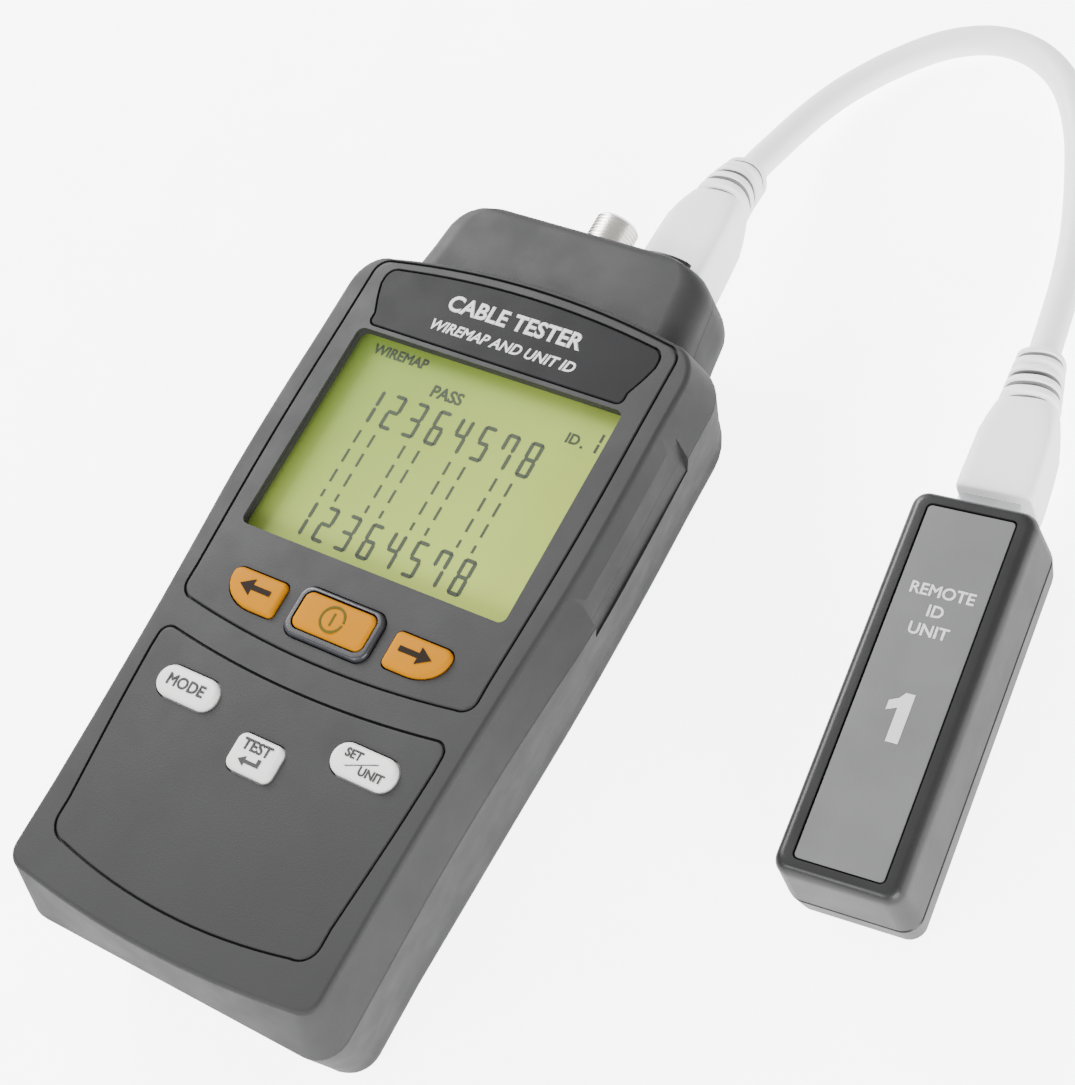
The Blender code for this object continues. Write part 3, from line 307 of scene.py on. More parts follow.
def finish_piece(obj, material, body, stands_for=(), sharp=32.0):
    """Shade the piece smooth between sharp edges, and hang it on its CAD body."""
    obj.data.materials.clear()
    obj.data.materials.append(MATERIALS[material])
    obj.data.shade_smooth()
    obj.data.set_sharp_from_angle(angle=math.radians(sharp))
    weighted = obj.modifiers.new("weighted", "WEIGHTED_NORMAL")
    weighted.keep_sharp = True
    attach(obj, body)
    if stands_for:
        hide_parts(*stands_for)
    return obj


def skin(bm, lower, upper):
    """Faces between two closed loops with the same number of points."""
    for k in range(len(lower)):
        following = (k + 1) % len(lower)
        bm.faces.new((lower[k], lower[following], upper[following], upper[k]))


def loft(bm, rings):
    """Skin closed rings with the same number of points and cap both ends."""
    loops = [[bm.verts.new(point) for point in ring] for ring in rings]
    for lower, upper in zip(loops, loops[1:]):
        skin(bm, lower, upper)
    bm.faces.new(list(reversed(loops[0])))
    bm.faces.new(loops[-1])


def loft_bm(rings):
    bm = bmesh.new()
    loft(bm, rings)
    return bm


def box_bm(*spans):
    """Block between the low and high values of its x, y and z spans."""
    size = [high - low for low, high in spans]
    centre = [(low + high) / 2 for low, high in spans]
    matrix = Matrix.Translation(centre) @ Matrix.Diagonal((*size, 1.0))
    bm = bmesh.new()
    bmesh.ops.create_cube(bm, size=1.0, matrix=matrix)
    return bm


def cylinder(bm, centre, radius, span, sides, axis="Z"):
    middle = (span[0] + span[1]) / 2
    if axis == "Z":
        turn = Matrix.Translation((centre[0], centre[1], middle))
    else:
        turn = Matrix.Translation((centre[0], middle, centre[1]))
        turn = turn @ Matrix.Rotation(math.radians(-90), 4, "X")
    bmesh.ops.create_cone(bm, cap_ends=True, segments=sides, radius1=radius,
                          radius2=radius, depth=span[1] - span[0], matrix=turn)


def at_height(outline, z):
    return [(x, y, z) for x, y in outline]


def prisms(outlines, bottom, top):
    """Upright prisms over these outlines, in one bmesh."""
    bm = bmesh.new()
    for outline in outlines:
        loft(bm, [at_height(outline, bottom), at_height(outline, top)])
    return bm


# ---- outlines ----
def quarter_arc(centre, radii, start, steps):
    angles = [math.radians(start + 90.0 * k / steps) for k in range(steps + 1)]
    return [(centre[0] + radii[0] * math.cos(a), centre[1] + radii[1] * math.sin(a))
            for a in angles]


def without_repeats(points):
    kept = []
    for point in points:
        if not kept or math.dist(point, kept[-1]) > 1e-4:
            kept.append(point)
    if math.dist(kept[0], kept[-1]) < 1e-4:
        kept.pop()
    return kept


def rounded_outline(x, y, radii, steps=8):
    """Rectangle with its own (rx, ry) at the low-left, low-right, top-right, top-left."""
    if not isinstance(radii, (list, tuple)):
        radii = [(radii, radii)] * 4
    corners = [(x[0], 1, y[0], 1, 180), (x[1], -1, y[0], 1, 270), (x[1], -1, y[1], -1, 0),
               (x[0], 1, y[1], -1, 90)]
    points = []
    for (px, towards_x, py, towards_y, start), radius in zip(corners, radii):
        centre = (px + towards_x * radius[0], py + towards_y * radius[1])
        points += quarter_arc(centre, radius, start, steps)
    return without_repeats(points)


def rectangle(x, y):
    return [(x[0], y[0]), (x[1], y[0]), (x[1], y[1]), (x[0], y[1])]


def offset_outline(points, distance):
    """Move a convex anticlockwise outline outwards by `distance`."""
    moved = []
    count = len(points)
    for k in range(count):
        before, here, after = points[k - 1], points[k], points[(k + 1) % count]
        first = Vector((here[1] - before[1], before[0] - here[0])).normalized()
        second = Vector((after[1] - here[1], here[0] - after[0])).normalized()
        middle = (first + second).normalized()
        reach = distance / max(middle.dot(first), 0.3)
        moved.append((here[0] + middle.x * reach, here[1] + middle.y * reach))
    return moved


def catmull(p0, p1, p2, p3, t):
    return 0.5 * (2 * p1 + (p2 - p0) * t + (2 * p0 - 5 * p1 + 4 * p2 - p3) * t * t
                  + (3 * p1 - p0 - 3 * p2 + p3) * t * t * t)


def running_lengths(points):
    """Distance along the points, from the first to each of them."""
    lengths = [0.0]
    for before, after in zip(points, points[1:]):
        lengths.append(lengths[-1] + (after - before).length)
    return lengths


def smooth_points(route, step):
    """Points about `step` apart along a smooth curve through `route`."""
    knots = [Vector(p) for p in route]
    padded = [2 * knots[0] - knots[1]] + knots + [2 * knots[-1] - knots[-2]]
    dense = []
    for k in range(len(knots) - 1):
        dense += [catmull(*padded[k:k + 4], t / 20) for t in range(20)]
    dense.append(knots[-1])
    lengths = running_lengths(dense)
    count = max(2, round(lengths[-1] / step))
    picked = []
    index = 0
    for k in range(count + 1):
        target = lengths[-1] * k / count
        while index < len(lengths) - 2 and lengths[index + 1] < target:
            index += 1
        part = (target - lengths[index]) / max(lengths[index + 1] - lengths[index], 1e-9)
        picked.append(dense[index].lerp(dense[index + 1], min(max(part, 0.0), 1.0)))
    return picked


class CaseOutline(NamedTuple):
    """Mirror-symmetric outline with bowed ends, shaped sides and round corners."""

    bottom: tuple                  # y at the middle and at the corner
    bottom_radius: float
    sides: list                    # (y, half width), bottom to top
    top: tuple                     # y at the corner and at the middle
    top_radii: tuple

    def inset(self, amount):
        radius = max(self.bottom_radius - amount, 0.6)
        radii = tuple(max(r - amount, 0.6) for r in self.top_radii)
        return CaseOutline(tuple(y + amount for y in self.bottom), radius,
                           [(y, w - amount) for y, w in self.sides],
                           tuple(y - amount for y in self.top), radii)

    def points(self, steps=8, across=8, per_side=24):
        low_width = self.sides[0][1]
        high_width = self.sides[-1][1]
        radius = self.bottom_radius
        half = []
        for k in range(across):
            t = k / across
            y = self.bottom[0] + (self.bottom[1] - self.bottom[0]) * t * t
            half.append((t * (low_width - radius), y))
        half += quarter_arc((low_width - radius, self.bottom[1] + radius),
                            (radius, radius), 270, steps)
        side = smooth_points([(w, y, 0.0) for y, w in self.sides], 1.0)
        last = len(side) - 1
        half += [side[round(last * k / per_side)].to_2d().to_tuple()
                 for k in range(per_side + 1)]
        rx, ry = self.top_radii
        half += quarter_arc((high_width - rx, self.top[0] - ry), (rx, ry), 0, steps)
        for k in range(across - 1, -1, -1):
            t = k / across
            y = self.top[1] + (self.top[0] - self.top[1]) * t * t
            half.append((t * (high_width - rx), y))
        left = [(-x, y) for x, y in reversed(half[1:-1])]
        return without_repeats(half + left)


def ring_levels(outline, levels):
    """Rings of an outline at (inset, z) levels."""
    return [at_height(outline.inset(inset).points(), z) for inset, z in levels]


def crease_at(y):
    return CREASE_Z + CREASE_SLOPE * y


def crease_ring(inset, rise):
    """The ridge's outline, in a plane `rise` above the sloping ridge."""
    return [(x, y, crease_at(y) + rise) for x, y in CREASE_OUTLINE.inset(inset).points()]


def fillet(inset, drop, steps):
    """(inset, drop) pairs along a rounded edge, from its foot up to the flat."""
    turns = [math.radians(90.0 * k / steps) for k in range(steps + 1)]
    return [(inset * (1.0 - math.cos(a)), drop * (1.0 - math.sin(a))) for a in turns]


# ---- shapes shared with the CAD part ----
FRONT_Z = box_mm("keypad_panel")[1].z
CREASE_Z = 26.0                # ridge where the case halves meet, at y = 0
CREASE_SLOPE = 0.015           # the ridge climbs a little towards the head
CASE_SEAM = 0.06               # the case halves close almost without a line
SEAM = 0.3
WALL = 2.2
HEAD_TOP_Z = 34.0
HEAD_BOTTOM_Z = 10.0
HEAD_FACE_Y = 80.6
FRONT_EDGE = 1.1               # rounding of the front face's rim
GROOVE = 0.22                  # half width of the groove round each front panel
PANEL_BOTTOM_Z = box_mm("keypad_panel")[0].z
DOOR_HALF_WIDTH = 18.0
DOOR_Y = -24.0
DOOR_Z = 9.0
CASE_SCREWS = [(26.4, -74.4), (-26.4, -74.4), (29.1, 50.6), (-29.1, 50.6)]
WELL_RADIUS, POST_RADIUS, DRILL_RADIUS = 2.9, 3.9, 1.5
BEYOND_Y = -95.0               # past the case's bottom end
REMOTE_PLACE = (98.0, 18.26)
REMOTE_YAW = math.radians(6.0)
REMOTE_HALF_LENGTH = 38.2
REMOTE_TOP_Z = 22.0
REMOTE_SPLIT_Z = 8.0
REMOTE_SCREWS_Y = (-31.0, 8.0)
LABEL_HALF = (8.15, 34.7)

FRONT_OUTLINE = CaseOutline(
    (-81.9, -79.6), 4.2,
    [(-62.0, 36.9), (-45.0, 37.3), (-25.0, 38.0), (-8.0, 38.9), (8.0, 39.8), (25.0, 40.0),
     (42.0, 39.8)],
    (60.2, 63.6), (6.5, 8.0))
CREASE_OUTLINE = CaseOutline(
    (-84.4, -84.4), 6.5,
    [(-62.0, 37.7), (-45.0, 37.9), (-25.0, 38.8), (-8.0, 40.2), (6.0, 41.4), (25.0, 41.6),
     (42.0, 41.4)],
    (62.0, 66.0), (8.5, 9.0))
BACK_OUTLINE = CaseOutline(
    (-83.0, -83.0), 6.5,
    [(-62.0, 33.3), (-45.0, 33.9), (-25.0, 34.6), (-8.0, 35.3), (6.0, 35.6), (25.0, 35.7),
     (42.0, 35.5)],
    (66.0, 67.5), (12.0, 13.0))
BEZEL_OUTLINE = CaseOutline(
    (-22.8, -20.4), 3.2,
    [(-14.0, 34.6), (8.0, 35.5), (25.0, 35.8), (44.0, 35.7)],
    (59.4, 62.3), (3.4, 3.6))
KEYPAD_OUTLINE = CaseOutline(
    (-74.6, -71.6), 4.2,
    [(-64.0, 31.4), (-45.0, 33.0), (-32.0, 33.8)],
    (-26.6, -28.9), (2.4, 2.4))
PLATE_OUTLINE = CaseOutline(
    (44.8, 44.8), 1.4,
    [(47.5, 29.9), (51.0, 31.4), (54.0, 32.4)],
    (58.0, 60.3), (2.6, 2.6))
WINDOW = (-31.2, 31.2, -2.6, 43.7)
KEY_CLEARANCE = 0.35
ORANGE_ROW_Y = (-18.2, -10.8)
WHITE_KEYS_Y = -36.3
TEST_KEY_Y = -42.9
RING_OUTLINE = rounded_outline((-9.8, 9.8), (-19.6, -9.2), 2.6)


def stadium(x, y, length, width):
    radius = width / 2 - 0.05
    return rounded_outline((x - length / 2, x + length / 2), (y - width / 2, y + width / 2),
                           radius)


def key_outlines():
    low, high = ORANGE_ROW_Y
    small = (1.2, 1.2)
    sweep = (7.2, 5.4)
    return {
        "key_left": rounded_outline((-25.8, -13.0), (low, high),
                                    [sweep, small, small, (2.0, 1.6)]),
        "key_power": rounded_outline((-8.3, 8.3), (-17.9, -10.3), 1.7),
        "key_right": rounded_outline((13.0, 25.8), (low, high),
                                     [small, sweep, (2.0, 1.6), small]),
        "key_mode": stadium(-21.0, WHITE_KEYS_Y, 14.2, 6.4),
        "key_test": rounded_outline((-5.2, 5.2), (TEST_KEY_Y - 3.7, TEST_KEY_Y + 3.7), 1.8),
        "key_unit": stadium(21.0, WHITE_KEYS_Y, 14.2, 6.4),
    }


# ---- tester case ----
def head_section(y, half_width, top, bottom, bow):
    """Closed ring across the head: soft shoulders above, sides drawn in below."""
    shoulder, corner = (6.0, 5.0), (6.5, 11.0)
    ring = rounded_outline((-half_width, half_width), (bottom, top),
                           [corner, corner, shoulder, shoulder])
    return [(x, y - bow * (x / 24.0) ** 2, z) for x, z in ring]


def head_rings(inset=0.0):
    """Rings along the head, from inside the case to its rounded end face."""
    plan_radius, edge = 6.5, 1.5
    rings = []
    for y, half_width in ((48.0, 33.4), (60.0, 33.0), (65.0, 32.1), (69.0, 31.5)):
        rings.append(head_section(y, half_width - inset, HEAD_TOP_Z - inset,
                                  HEAD_BOTTOM_Z + inset, 0.3))
    start = HEAD_FACE_Y - plan_radius
    for k in range(7):
        angle = math.radians(90.0 * k / 6)
        y = start + plan_radius * math.sin(angle) - inset
        half_width = 31.1 - inset - plan_radius * (1.0 - math.cos(angle))
        reach = max(0.0, y + inset - (HEAD_FACE_Y - edge)) / edge
        drop = edge * (1.0 - math.sqrt(max(0.0, 1.0 - reach * reach)))
        rings.append(head_section(y, half_width - drop, HEAD_TOP_Z - inset - drop,
                                  HEAD_BOTTOM_Z + inset + drop, 1.2))
    return rings


def cut_head_openings(shell):
    """Holes in the head's end wall, for the two jacks and the coax connector."""
    through = (HEAD_FACE_Y - 8.0, HEAD_FACE_Y + 6.0)
    for jack, gap, gap_above in (("phone_jack", 0.3, 0.3), ("lan_jack", 0.5, 1.0)):
        low, high = box_mm(jack)
        combine(shell, box_bm((low.x - gap, high.x + gap), through,
                              (low.z - gap, high.z + gap_above)))
    low, high = box_mm("coax_barrel")
    centre = (low + high) / 2
    hole = bmesh.new()
    cylinder(hole, (centre.x, centre.z), 5.0, through, 48, "Y")
    combine(shell, hole)


def lan_mouth_shade():
    """Painted shade: a black arch over the opening that the plug's boot goes into, standing in for
    the dark gap above the boot where the black jack lies in shadow.
    """
    middle_x, foot_z = 17.5, 29.0
    outer, inner = 5.4, 4.3
    flattening = 0.38
    turn = [math.pi * k / 12 for k in range(13)]
    arch = []
    for radius, angles in ((outer, turn), (inner, reversed(turn))):
        arch += [(middle_x + radius * math.cos(a), foot_z + flattening * radius * math.sin(a))
                 for a in angles]
    rings = [[(x, HEAD_FACE_Y + out, z) for x, z in reversed(arch)] for out in (-1.6, 0.5)]
    finish_piece(new_object("lan_mouth_shade", loft_bm(rings)), "black", "tester")


def front_openings(bottom, top):
    window = rounded_outline(WINDOW[:2], WINDOW[2:], 1.6)
    shafts = [offset_outline(outline, KEY_CLEARANCE) for outline in key_outlines().values()]
    return prisms([window, *shafts], bottom, top)


def grip_cutter():
    """Finger recesses: flat facets across the ridge, with a small step at each end."""
    beyond = 46.0
    bm = bmesh.new()
    for side in (-1, 1):
        rings = []
        for facet, y, z in ((39.8, (6.2, 43.2), 21.8), (40.5, (7.6, 44.2), 32.6)):
            rings.append([(side * px, py, z) for px, py in rectangle((facet, beyond), y)])
        loft(bm, rings)
    return bm


def half_space(below):
    """Block on one side of the sloping ridge; it stops just short of the case's own rim."""
    rise, far = (-CASE_SEAM, -5.0) if below else (CASE_SEAM, 60.0)
    plan = rectangle((-60.0, 60.0), (20.0, 120.0))
    edge = [(x, y, crease_at(y) + rise) for x, y in plan]
    end = at_height(plan, far)
    return loft_bm([end, edge] if below else [edge, end])


def add_head(shell, name, half):
    """Join the part of the head that lies in `half` to a shell."""
    head = new_object(name, loft_bm(head_rings()))
    combine(head, half, "INTERSECT")
    bm = bmesh.new()
    bm.from_mesh(head.data)
    bmesh.ops.scale(bm, vec=(1.0 / MM,) * 3, verts=bm.verts)
    bpy.data.objects.remove(head, do_unlink=True)
    combine(shell, bm, "UNION")


def front_shell():
    rings = [crease_ring(0.1, CASE_SEAM / 2), crease_ring(0.0, 0.4)]
    rings += ring_levels(FRONT_OUTLINE, [(inset, FRONT_Z - drop) for inset, drop
                                         in fillet(FRONT_EDGE, FRONT_EDGE, 5)])
    shell = new_object("front_shell", loft_bm(rings))
    combine(shell, grip_cutter())
    add_head(shell, "head_front", half_space(below=False))
    combine(shell, loft_bm([crease_ring(3.2, -1.0), crease_ring(3.2, 2.0),
                            *ring_levels(FRONT_OUTLINE, [(WALL + 0.4, FRONT_Z - WALL)])]))
    combine(shell, loft_bm(head_rings(WALL)))
    recesses = [outline.inset(-GROOVE).points() for outline in (BEZEL_OUTLINE, KEYPAD_OUTLINE)]
    combine(shell, prisms(recesses, PANEL_BOTTOM_Z - 0.1, FRONT_Z + 2.0))
    combine(shell, front_openings(FRONT_Z - WALL - 2.0, FRONT_Z + 3.0))
    cut_head_openings(shell)
    finish_piece(shell, "case", "tester", ["front_case"])


def back_levels():
    edge = ((4.4, 0.0), (3.3, 0.25), (2.2, 0.8), (1.2, 1.7), (0.5, 3.0), (0.12, 4.6), (0.0, 6.5))
    return ring_levels(BACK_OUTLINE, edge) + [crease_ring(0.0, -0.4),
                                              crease_ring(0.1, -CASE_SEAM / 2)]


def bay_walls():
    """Three-sided wall round the battery bay, open towards the bottom end."""
    outer, inner = DOOR_HALF_WIDTH + 1.8, DOOR_HALF_WIDTH + 0.3
    foot, top = -81.6, DOOR_Y + 0.3
    plan = [(-outer, foot), (-inner, foot), (-inner, top), (inner, top),
            (inner, foot), (outer, foot), (outer, top + 1.5), (-outer, top + 1.5)]
    return loft_bm([at_height(plan, 1.2), at_height(plan, 14.0)])


def back_shell():
    shell = new_object("back_shell", loft_bm(back_levels()))
    combine(shell, grip_cutter())
    add_head(shell, "head_back", half_space(below=True))
    combine(shell, loft_bm([*ring_levels(BACK_OUTLINE, [(5.0, WALL), (WALL + 0.6, 5.5)]),
                            crease_ring(3.2, 1.0)]))
    combine(shell, loft_bm(head_rings(WALL)))
    cut_head_openings(shell)
    wells = bmesh.new()
    drills = bmesh.new()
    for x, y in CASE_SCREWS:
        cylinder(wells, (x, y), WELL_RADIUS, (-2.0, 12.0), 28)
        cylinder(drills, (x, y), DRILL_RADIUS, (11.0, crease_at(y) + 2.0), 20)
    combine(shell, wells.copy())
    combine(shell, box_bm((-DOOR_HALF_WIDTH, DOOR_HALF_WIDTH), (BEYOND_Y, DOOR_Y), (-2.0, DOOR_Z)))
    finish_piece(shell, "case", "tester", ["back_case"])

    inside = new_object("bay_and_posts", bay_walls())
    posts = bmesh.new()
    for x, y in CASE_SCREWS:
        cylinder(posts, (x, y), POST_RADIUS, (1.4, crease_at(y) - SEAM), 28)
    combine(inside, posts, "UNION")
    combine(inside, wells)
    combine(inside, drills)
    finish_piece(inside, "case", "tester")


def battery_cover():
    gap = 0.3
    cover = new_object("battery_cover", loft_bm(back_levels()))
    width = DOOR_HALF_WIDTH - gap
    combine(cover, box_bm((-width, width), (BEYOND_Y, DOOR_Y - gap), (-2.0, DOOR_Z - gap)),
            "INTERSECT")
    combine(cover, box_bm((-30.0, 30.0), (-80.6, 0.0), (WALL, 30.0)))
    grooves = []
    for k in range(6):
        y, half = -72.0 + 3.0 * k, 11.0 - 0.8 * k
        grooves.append(rounded_outline((-half, half), (y, y + 1.3), 0.6, 4))
    combine(cover, prisms(grooves, -1.0, 0.55))
    finish_piece(cover, "case", "battery_door", ["battery_door"])


def edged_plate(outline_at, bottom, top, edge=0.3):
    """Plate with a small rounded top edge; `outline_at` gives the outline at an inset."""
    rings = [at_height(outline_at(0.0), bottom)]
    rings += [at_height(outline_at(inset), top - drop) for inset, drop in fillet(edge, edge, 3)]
    return loft_bm(rings)


def front_panels():
    bottom, top = PANEL_BOTTOM_Z, FRONT_Z
    bezel = new_object("bezel_panel", edged_plate(
        lambda inset: BEZEL_OUTLINE.inset(GROOVE + inset).points(), bottom, top))
    combine(bezel, front_openings(bottom - 2.0, top + 2.0))
    inlays = [PLATE_OUTLINE.inset(-GROOVE).points(), offset_outline(RING_OUTLINE, 0.3)]
    combine(bezel, prisms(inlays, bottom - 1.0, top + 1.0))
    finish_piece(bezel, "panel", "tester", ["display_bezel"])
    plate = new_object("name_panel", edged_plate(
        lambda inset: PLATE_OUTLINE.inset(inset + 0.1).points(), bottom, top - 0.1))
    finish_piece(plate, "plate", "tester", ["name_plate"])
    keypad = new_object("key_panel", edged_plate(
        lambda inset: KEYPAD_OUTLINE.inset(GROOVE + inset).points(), bottom, top))
    combine(keypad, front_openings(bottom - 2.0, top + 2.0))
    finish_piece(keypad, "panel", "tester", ["keypad_panel"])
    power_ring(bottom, top)


def power_ring(bottom, top):
    rise, straight = 0.9, 0.2
    rings = [at_height(RING_OUTLINE, bottom), at_height(RING_OUTLINE, top + straight)]
    rings += [at_height(offset_outline(RING_OUTLINE, -inset), top + rise - drop)
              for inset, drop in fillet(0.6, rise - straight, 5)[1:]]
    ring = new_object("power_surround", loft_bm(rings))
    shaft = offset_outline(key_outlines()["key_power"], KEY_CLEARANCE)
    combine(ring, prisms([shaft], bottom - 1.0, top + 3.0))
    finish_piece(ring, "ring", "tester", ["power_key_ring"])


# ---- keys ----
KEY_TOPS = {"key_left": 39.1, "key_power": 39.5, "key_right": 39.1,
            "key_mode": 39.2, "key_test": 39.2, "key_unit": 39.2}


def key_cap(name, outline, top):
    """Cap with a rounded rim and a slightly crowned face, over its flange and post."""
    low = box_mm(name)[0].z
    centre = Vector((sum(x for x, _ in outline), sum(y for _, y in outline))) / len(outline)
    rim, crown = 0.9, 0.15
    flange_low, flange_high = 34.5, 35.5

    def scaled(points, share):
        return [tuple(centre + (Vector(p) - centre) * share) for p in points]

    post, flange = scaled(outline, 0.35), offset_outline(outline, 1.0)
    rings = [at_height(post, low), at_height(post, flange_low), at_height(flange, flange_low),
             at_height(flange, flange_high), at_height(outline, flange_high)]
    rings += [at_height(offset_outline(outline, -inset), top - crown - drop)
              for inset, drop in fillet(rim, rim * 0.9, 5)]
    for share in (0.75, 0.5, 0.25):
        rise = crown * (1.0 - share * share)
        rings.append(at_height(scaled(offset_outline(outline, -rim), share), top - crown + rise))
    key = new_object(name + "_cap", loft_bm(rings))
    white = name in ("key_mode", "key_test", "key_unit")
    finish_piece(key, "white_key" if white else "orange", name, [name])


def printed(obj, material, body):
    obj.data.materials.append(MATERIALS[material])
    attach(obj, body)


def mark(name, outlines, z, material, body):
    """Thin printed marks: flat outlines, each a body of its own, just above z."""
    printed(new_object(name, prisms(outlines, z, z + 0.05)), material, body)


def arrow_outline(centre, length, heading):
    """Arrow pointing along +X (heading 1) or -X (heading -1)."""
    x, y = centre
    tip, tail = heading * length / 2, -heading * length / 2
    neck = tip - heading * 3.0
    points = [(tail, -0.55), (neck, -0.55), (neck, -1.75), (tip, 0.0), (neck, 1.75),
              (neck, 0.55), (tail, 0.55)]
    if heading < 0:
        points.reverse()
    return [(x + px, y + py) for px, py in points]


def ring_outline(centre, radius, width):
    """Ring with one segment left open, so that it is a single outline."""
    turn = [math.tau * k / 40 for k in range(40)]
    return [(centre[0] + r * math.cos(a), centre[1] + r * math.sin(a))
            for r, angles in ((radius, turn), (radius - width, reversed(turn))) for a in angles]


def lettering(name, text, place, height, material, body, weight, lean=0.0, turn=0.0):
    """Flat printed text as a mesh, its middle at `place`."""
    curve = bpy.data.curves.new(name, "FONT")
    curve.body = text
    curve.align_x = "CENTER"
    curve.align_y = "CENTER"
    curve.size = height * 1.38 * MM
    curve.shear = lean
    curve.bevel_depth = weight * MM
    curve.bevel_resolution = 0
    curve.extrude = 0.02 * MM
    curve.resolution_u = 4
    source = linked(name + "_curve", curve)
    mesh = evaluated_copy(source)
    bpy.data.objects.remove(source, do_unlink=True)
    mesh.transform(Matrix.Translation(Vector(place) * MM) @ Matrix.Rotation(turn, 4, "Z"))
    mesh.materials.clear()
    printed(linked(name, mesh), material, body)


def keys():
    for name, outline in key_outlines().items():
        key_cap(name, outline, KEY_TOPS[name])
    print_z = 0.01
    row_y = sum(ORANGE_ROW_Y) / 2 + 0.4
    for side, heading in (("left", -1), ("right", 1)):
        key = "key_" + side
        mark("arrow_" + side, [arrow_outline((heading * 19.0, row_y), 7.4, heading)],
             KEY_TOPS[key] + print_z, "ink_brown", key)
    power = (0.0, -14.1)
    mark("power_symbol", [ring_outline(power, 2.75, 0.45),
                          rectangle((-0.22, 0.22), (power[1] - 1.3, power[1] + 1.3))],
         KEY_TOPS["key_power"] + print_z, "ink_olive", "key_power")
    top = KEY_TOPS["key_test"] + print_z

    def word(name, text, x, y, height, key, weight):
        lettering(name, text, (x, y, top), height, "ink_black", key, weight)

    word("mode_word", "MODE", -21.0, WHITE_KEYS_Y, 2.3, "key_mode", 0.10)
    word("test_word", "TEST", 0.0, TEST_KEY_Y + 1.5, 2.2, "key_test", 0.10)
    enter = [(-2.6, -1.5), (-1.0, -2.5), (-1.0, -1.85), (2.3, -1.85), (2.3, -0.2), (1.5, -0.2),
             (1.5, -1.15), (-1.0, -1.15), (-1.0, -0.5)]
    mark("enter_arrow", [[(x, TEST_KEY_Y + y) for x, y in enter]], top, "ink_black", "key_test")
    word("set_word", "SET", 18.5, WHITE_KEYS_Y + 1.1, 1.7, "key_unit", 0.08)
    word("unit_word", "UNIT", 23.6, WHITE_KEYS_Y - 1.2, 1.7, "key_unit", 0.08)
    slash = [(17.6, -1.35), (18.1, -1.35), (24.3, 1.15), (23.8, 1.15)]
    mark("slash_mark", [[(x, WHITE_KEYS_Y + y) for x, y in slash]], top, "ink_black", "key_unit")


# ---- display ----
SEGMENTS = {"1": "bc", "2": "abged", "3": "abgcd", "4": "fgbc", "5": "afgcd", "6": "afgedc",
            "7": "fabc", "8": "abcdefg"}
DIGIT_WIDTH, DIGIT_HEIGHT, STROKE = 3.0, 7.8, 0.78
DIGIT_PITCH = 5.42
FIRST_DIGIT_X = -21.45


def segment_outline(name, x, y):
    """Pointed bar of a seven-segment digit whose lower left corner is at (x, y)."""
    w, h, s = DIGIT_WIDTH, DIGIT_HEIGHT, STROKE
    half, gap = s * 0.5, 0.16
    if name in "adg":
        low = y + {"a": h - s, "g": (h - s) / 2, "d": 0.0}[name]
        left, right = x + gap, x + w - gap
        return [(left + half, low), (right - half, low), (right, low + half),
                (right - half, low + s), (left + half, low + s), (left, low + half)]
    side = x if name in "ef" else x + w - s
    low = y + gap if name in "ec" else y + h / 2 + gap * 0.6
    high = y + h / 2 - gap * 0.6 if name in "ec" else y + h - gap
    return [(side + half, low), (side + s, low + half), (side + s, high - half),
            (side + half, high), (side, high - half), (side, low + half)]


def display():
    low, high = box_mm("lcd_panel")
    top = high.z
    face = new_object("lcd_face", box_bm(*zip(low, high)))
    finish_piece(face, "display", "tester", ["lcd_panel"])
    outlines = []
    for row_y in (26.1, 0.0):
        for k, digit in enumerate("12364578"):
            x = FIRST_DIGIT_X - DIGIT_WIDTH / 2 + DIGIT_PITCH * k
            outlines += [segment_outline(s, x, row_y) for s in SEGMENTS[digit]]
    for pair in range(4):
        for x in (-20.5 + 10.9 * pair, -17.05 + 10.9 * pair):
            for y in ((21.5, 24.4), (17.0, 20.0), (12.4, 15.3), (8.9, 10.6)):
                outlines.append(rectangle((x - 0.27, x + 0.27), y))
    outlines += [rectangle((27.6, 28.15), (35.5, 37.4)), rectangle((27.6, 28.15), (37.8, 39.6)),
                 rectangle((24.5, 25.0), (35.5, 36.0))]
    mark("lcd_segments", outlines, top + 0.02, "segment", "tester")
    for name, text, x, y, height, weight in (
            ("lcd_map_word", "WIREMAP", -21.4, 41.6, 2.2, 0.08),
            ("lcd_pass_word", "PASS", -7.2, 36.9, 2.6, 0.10),
            ("lcd_id_word", "ID", 22.4, 36.7, 2.2, 0.08)):
        lettering(name, text, (x, y, top + 0.04), height, "segment", "tester", weight)


def name_plate_print():
    """Two plain descriptions, in place of any name."""
    z = box_mm("name_plate")[1].z - 0.09
    for name, text, y, height, weight, lean in (
            ("plate_words", "CABLE TESTER", 54.3, 3.5, 0.16, 0.0),
            ("plate_line", "WIREMAP AND UNIT ID", 48.9, 2.3, 0.08, 0.2)):
        lettering(name, text, (0.0, y, z), height, "ink_white", "tester",
                  weight, lean)


# ---- connectors ----
def lathe(profile, steps, centre):
    """Turn a closed (radius, y) profile about an axis along Y."""
    bm = bmesh.new()
    rings = []
    for k in range(steps):
        angle = math.tau * k / steps
        c, s = math.cos(angle), math.sin(angle)
        rings.append([bm.verts.new((centre[0] + r * c, y, centre[1] + r * s))
                      for r, y in profile])
    for k in range(steps):
        skin(bm, rings[k], rings[(k + 1) % steps])
    return bm


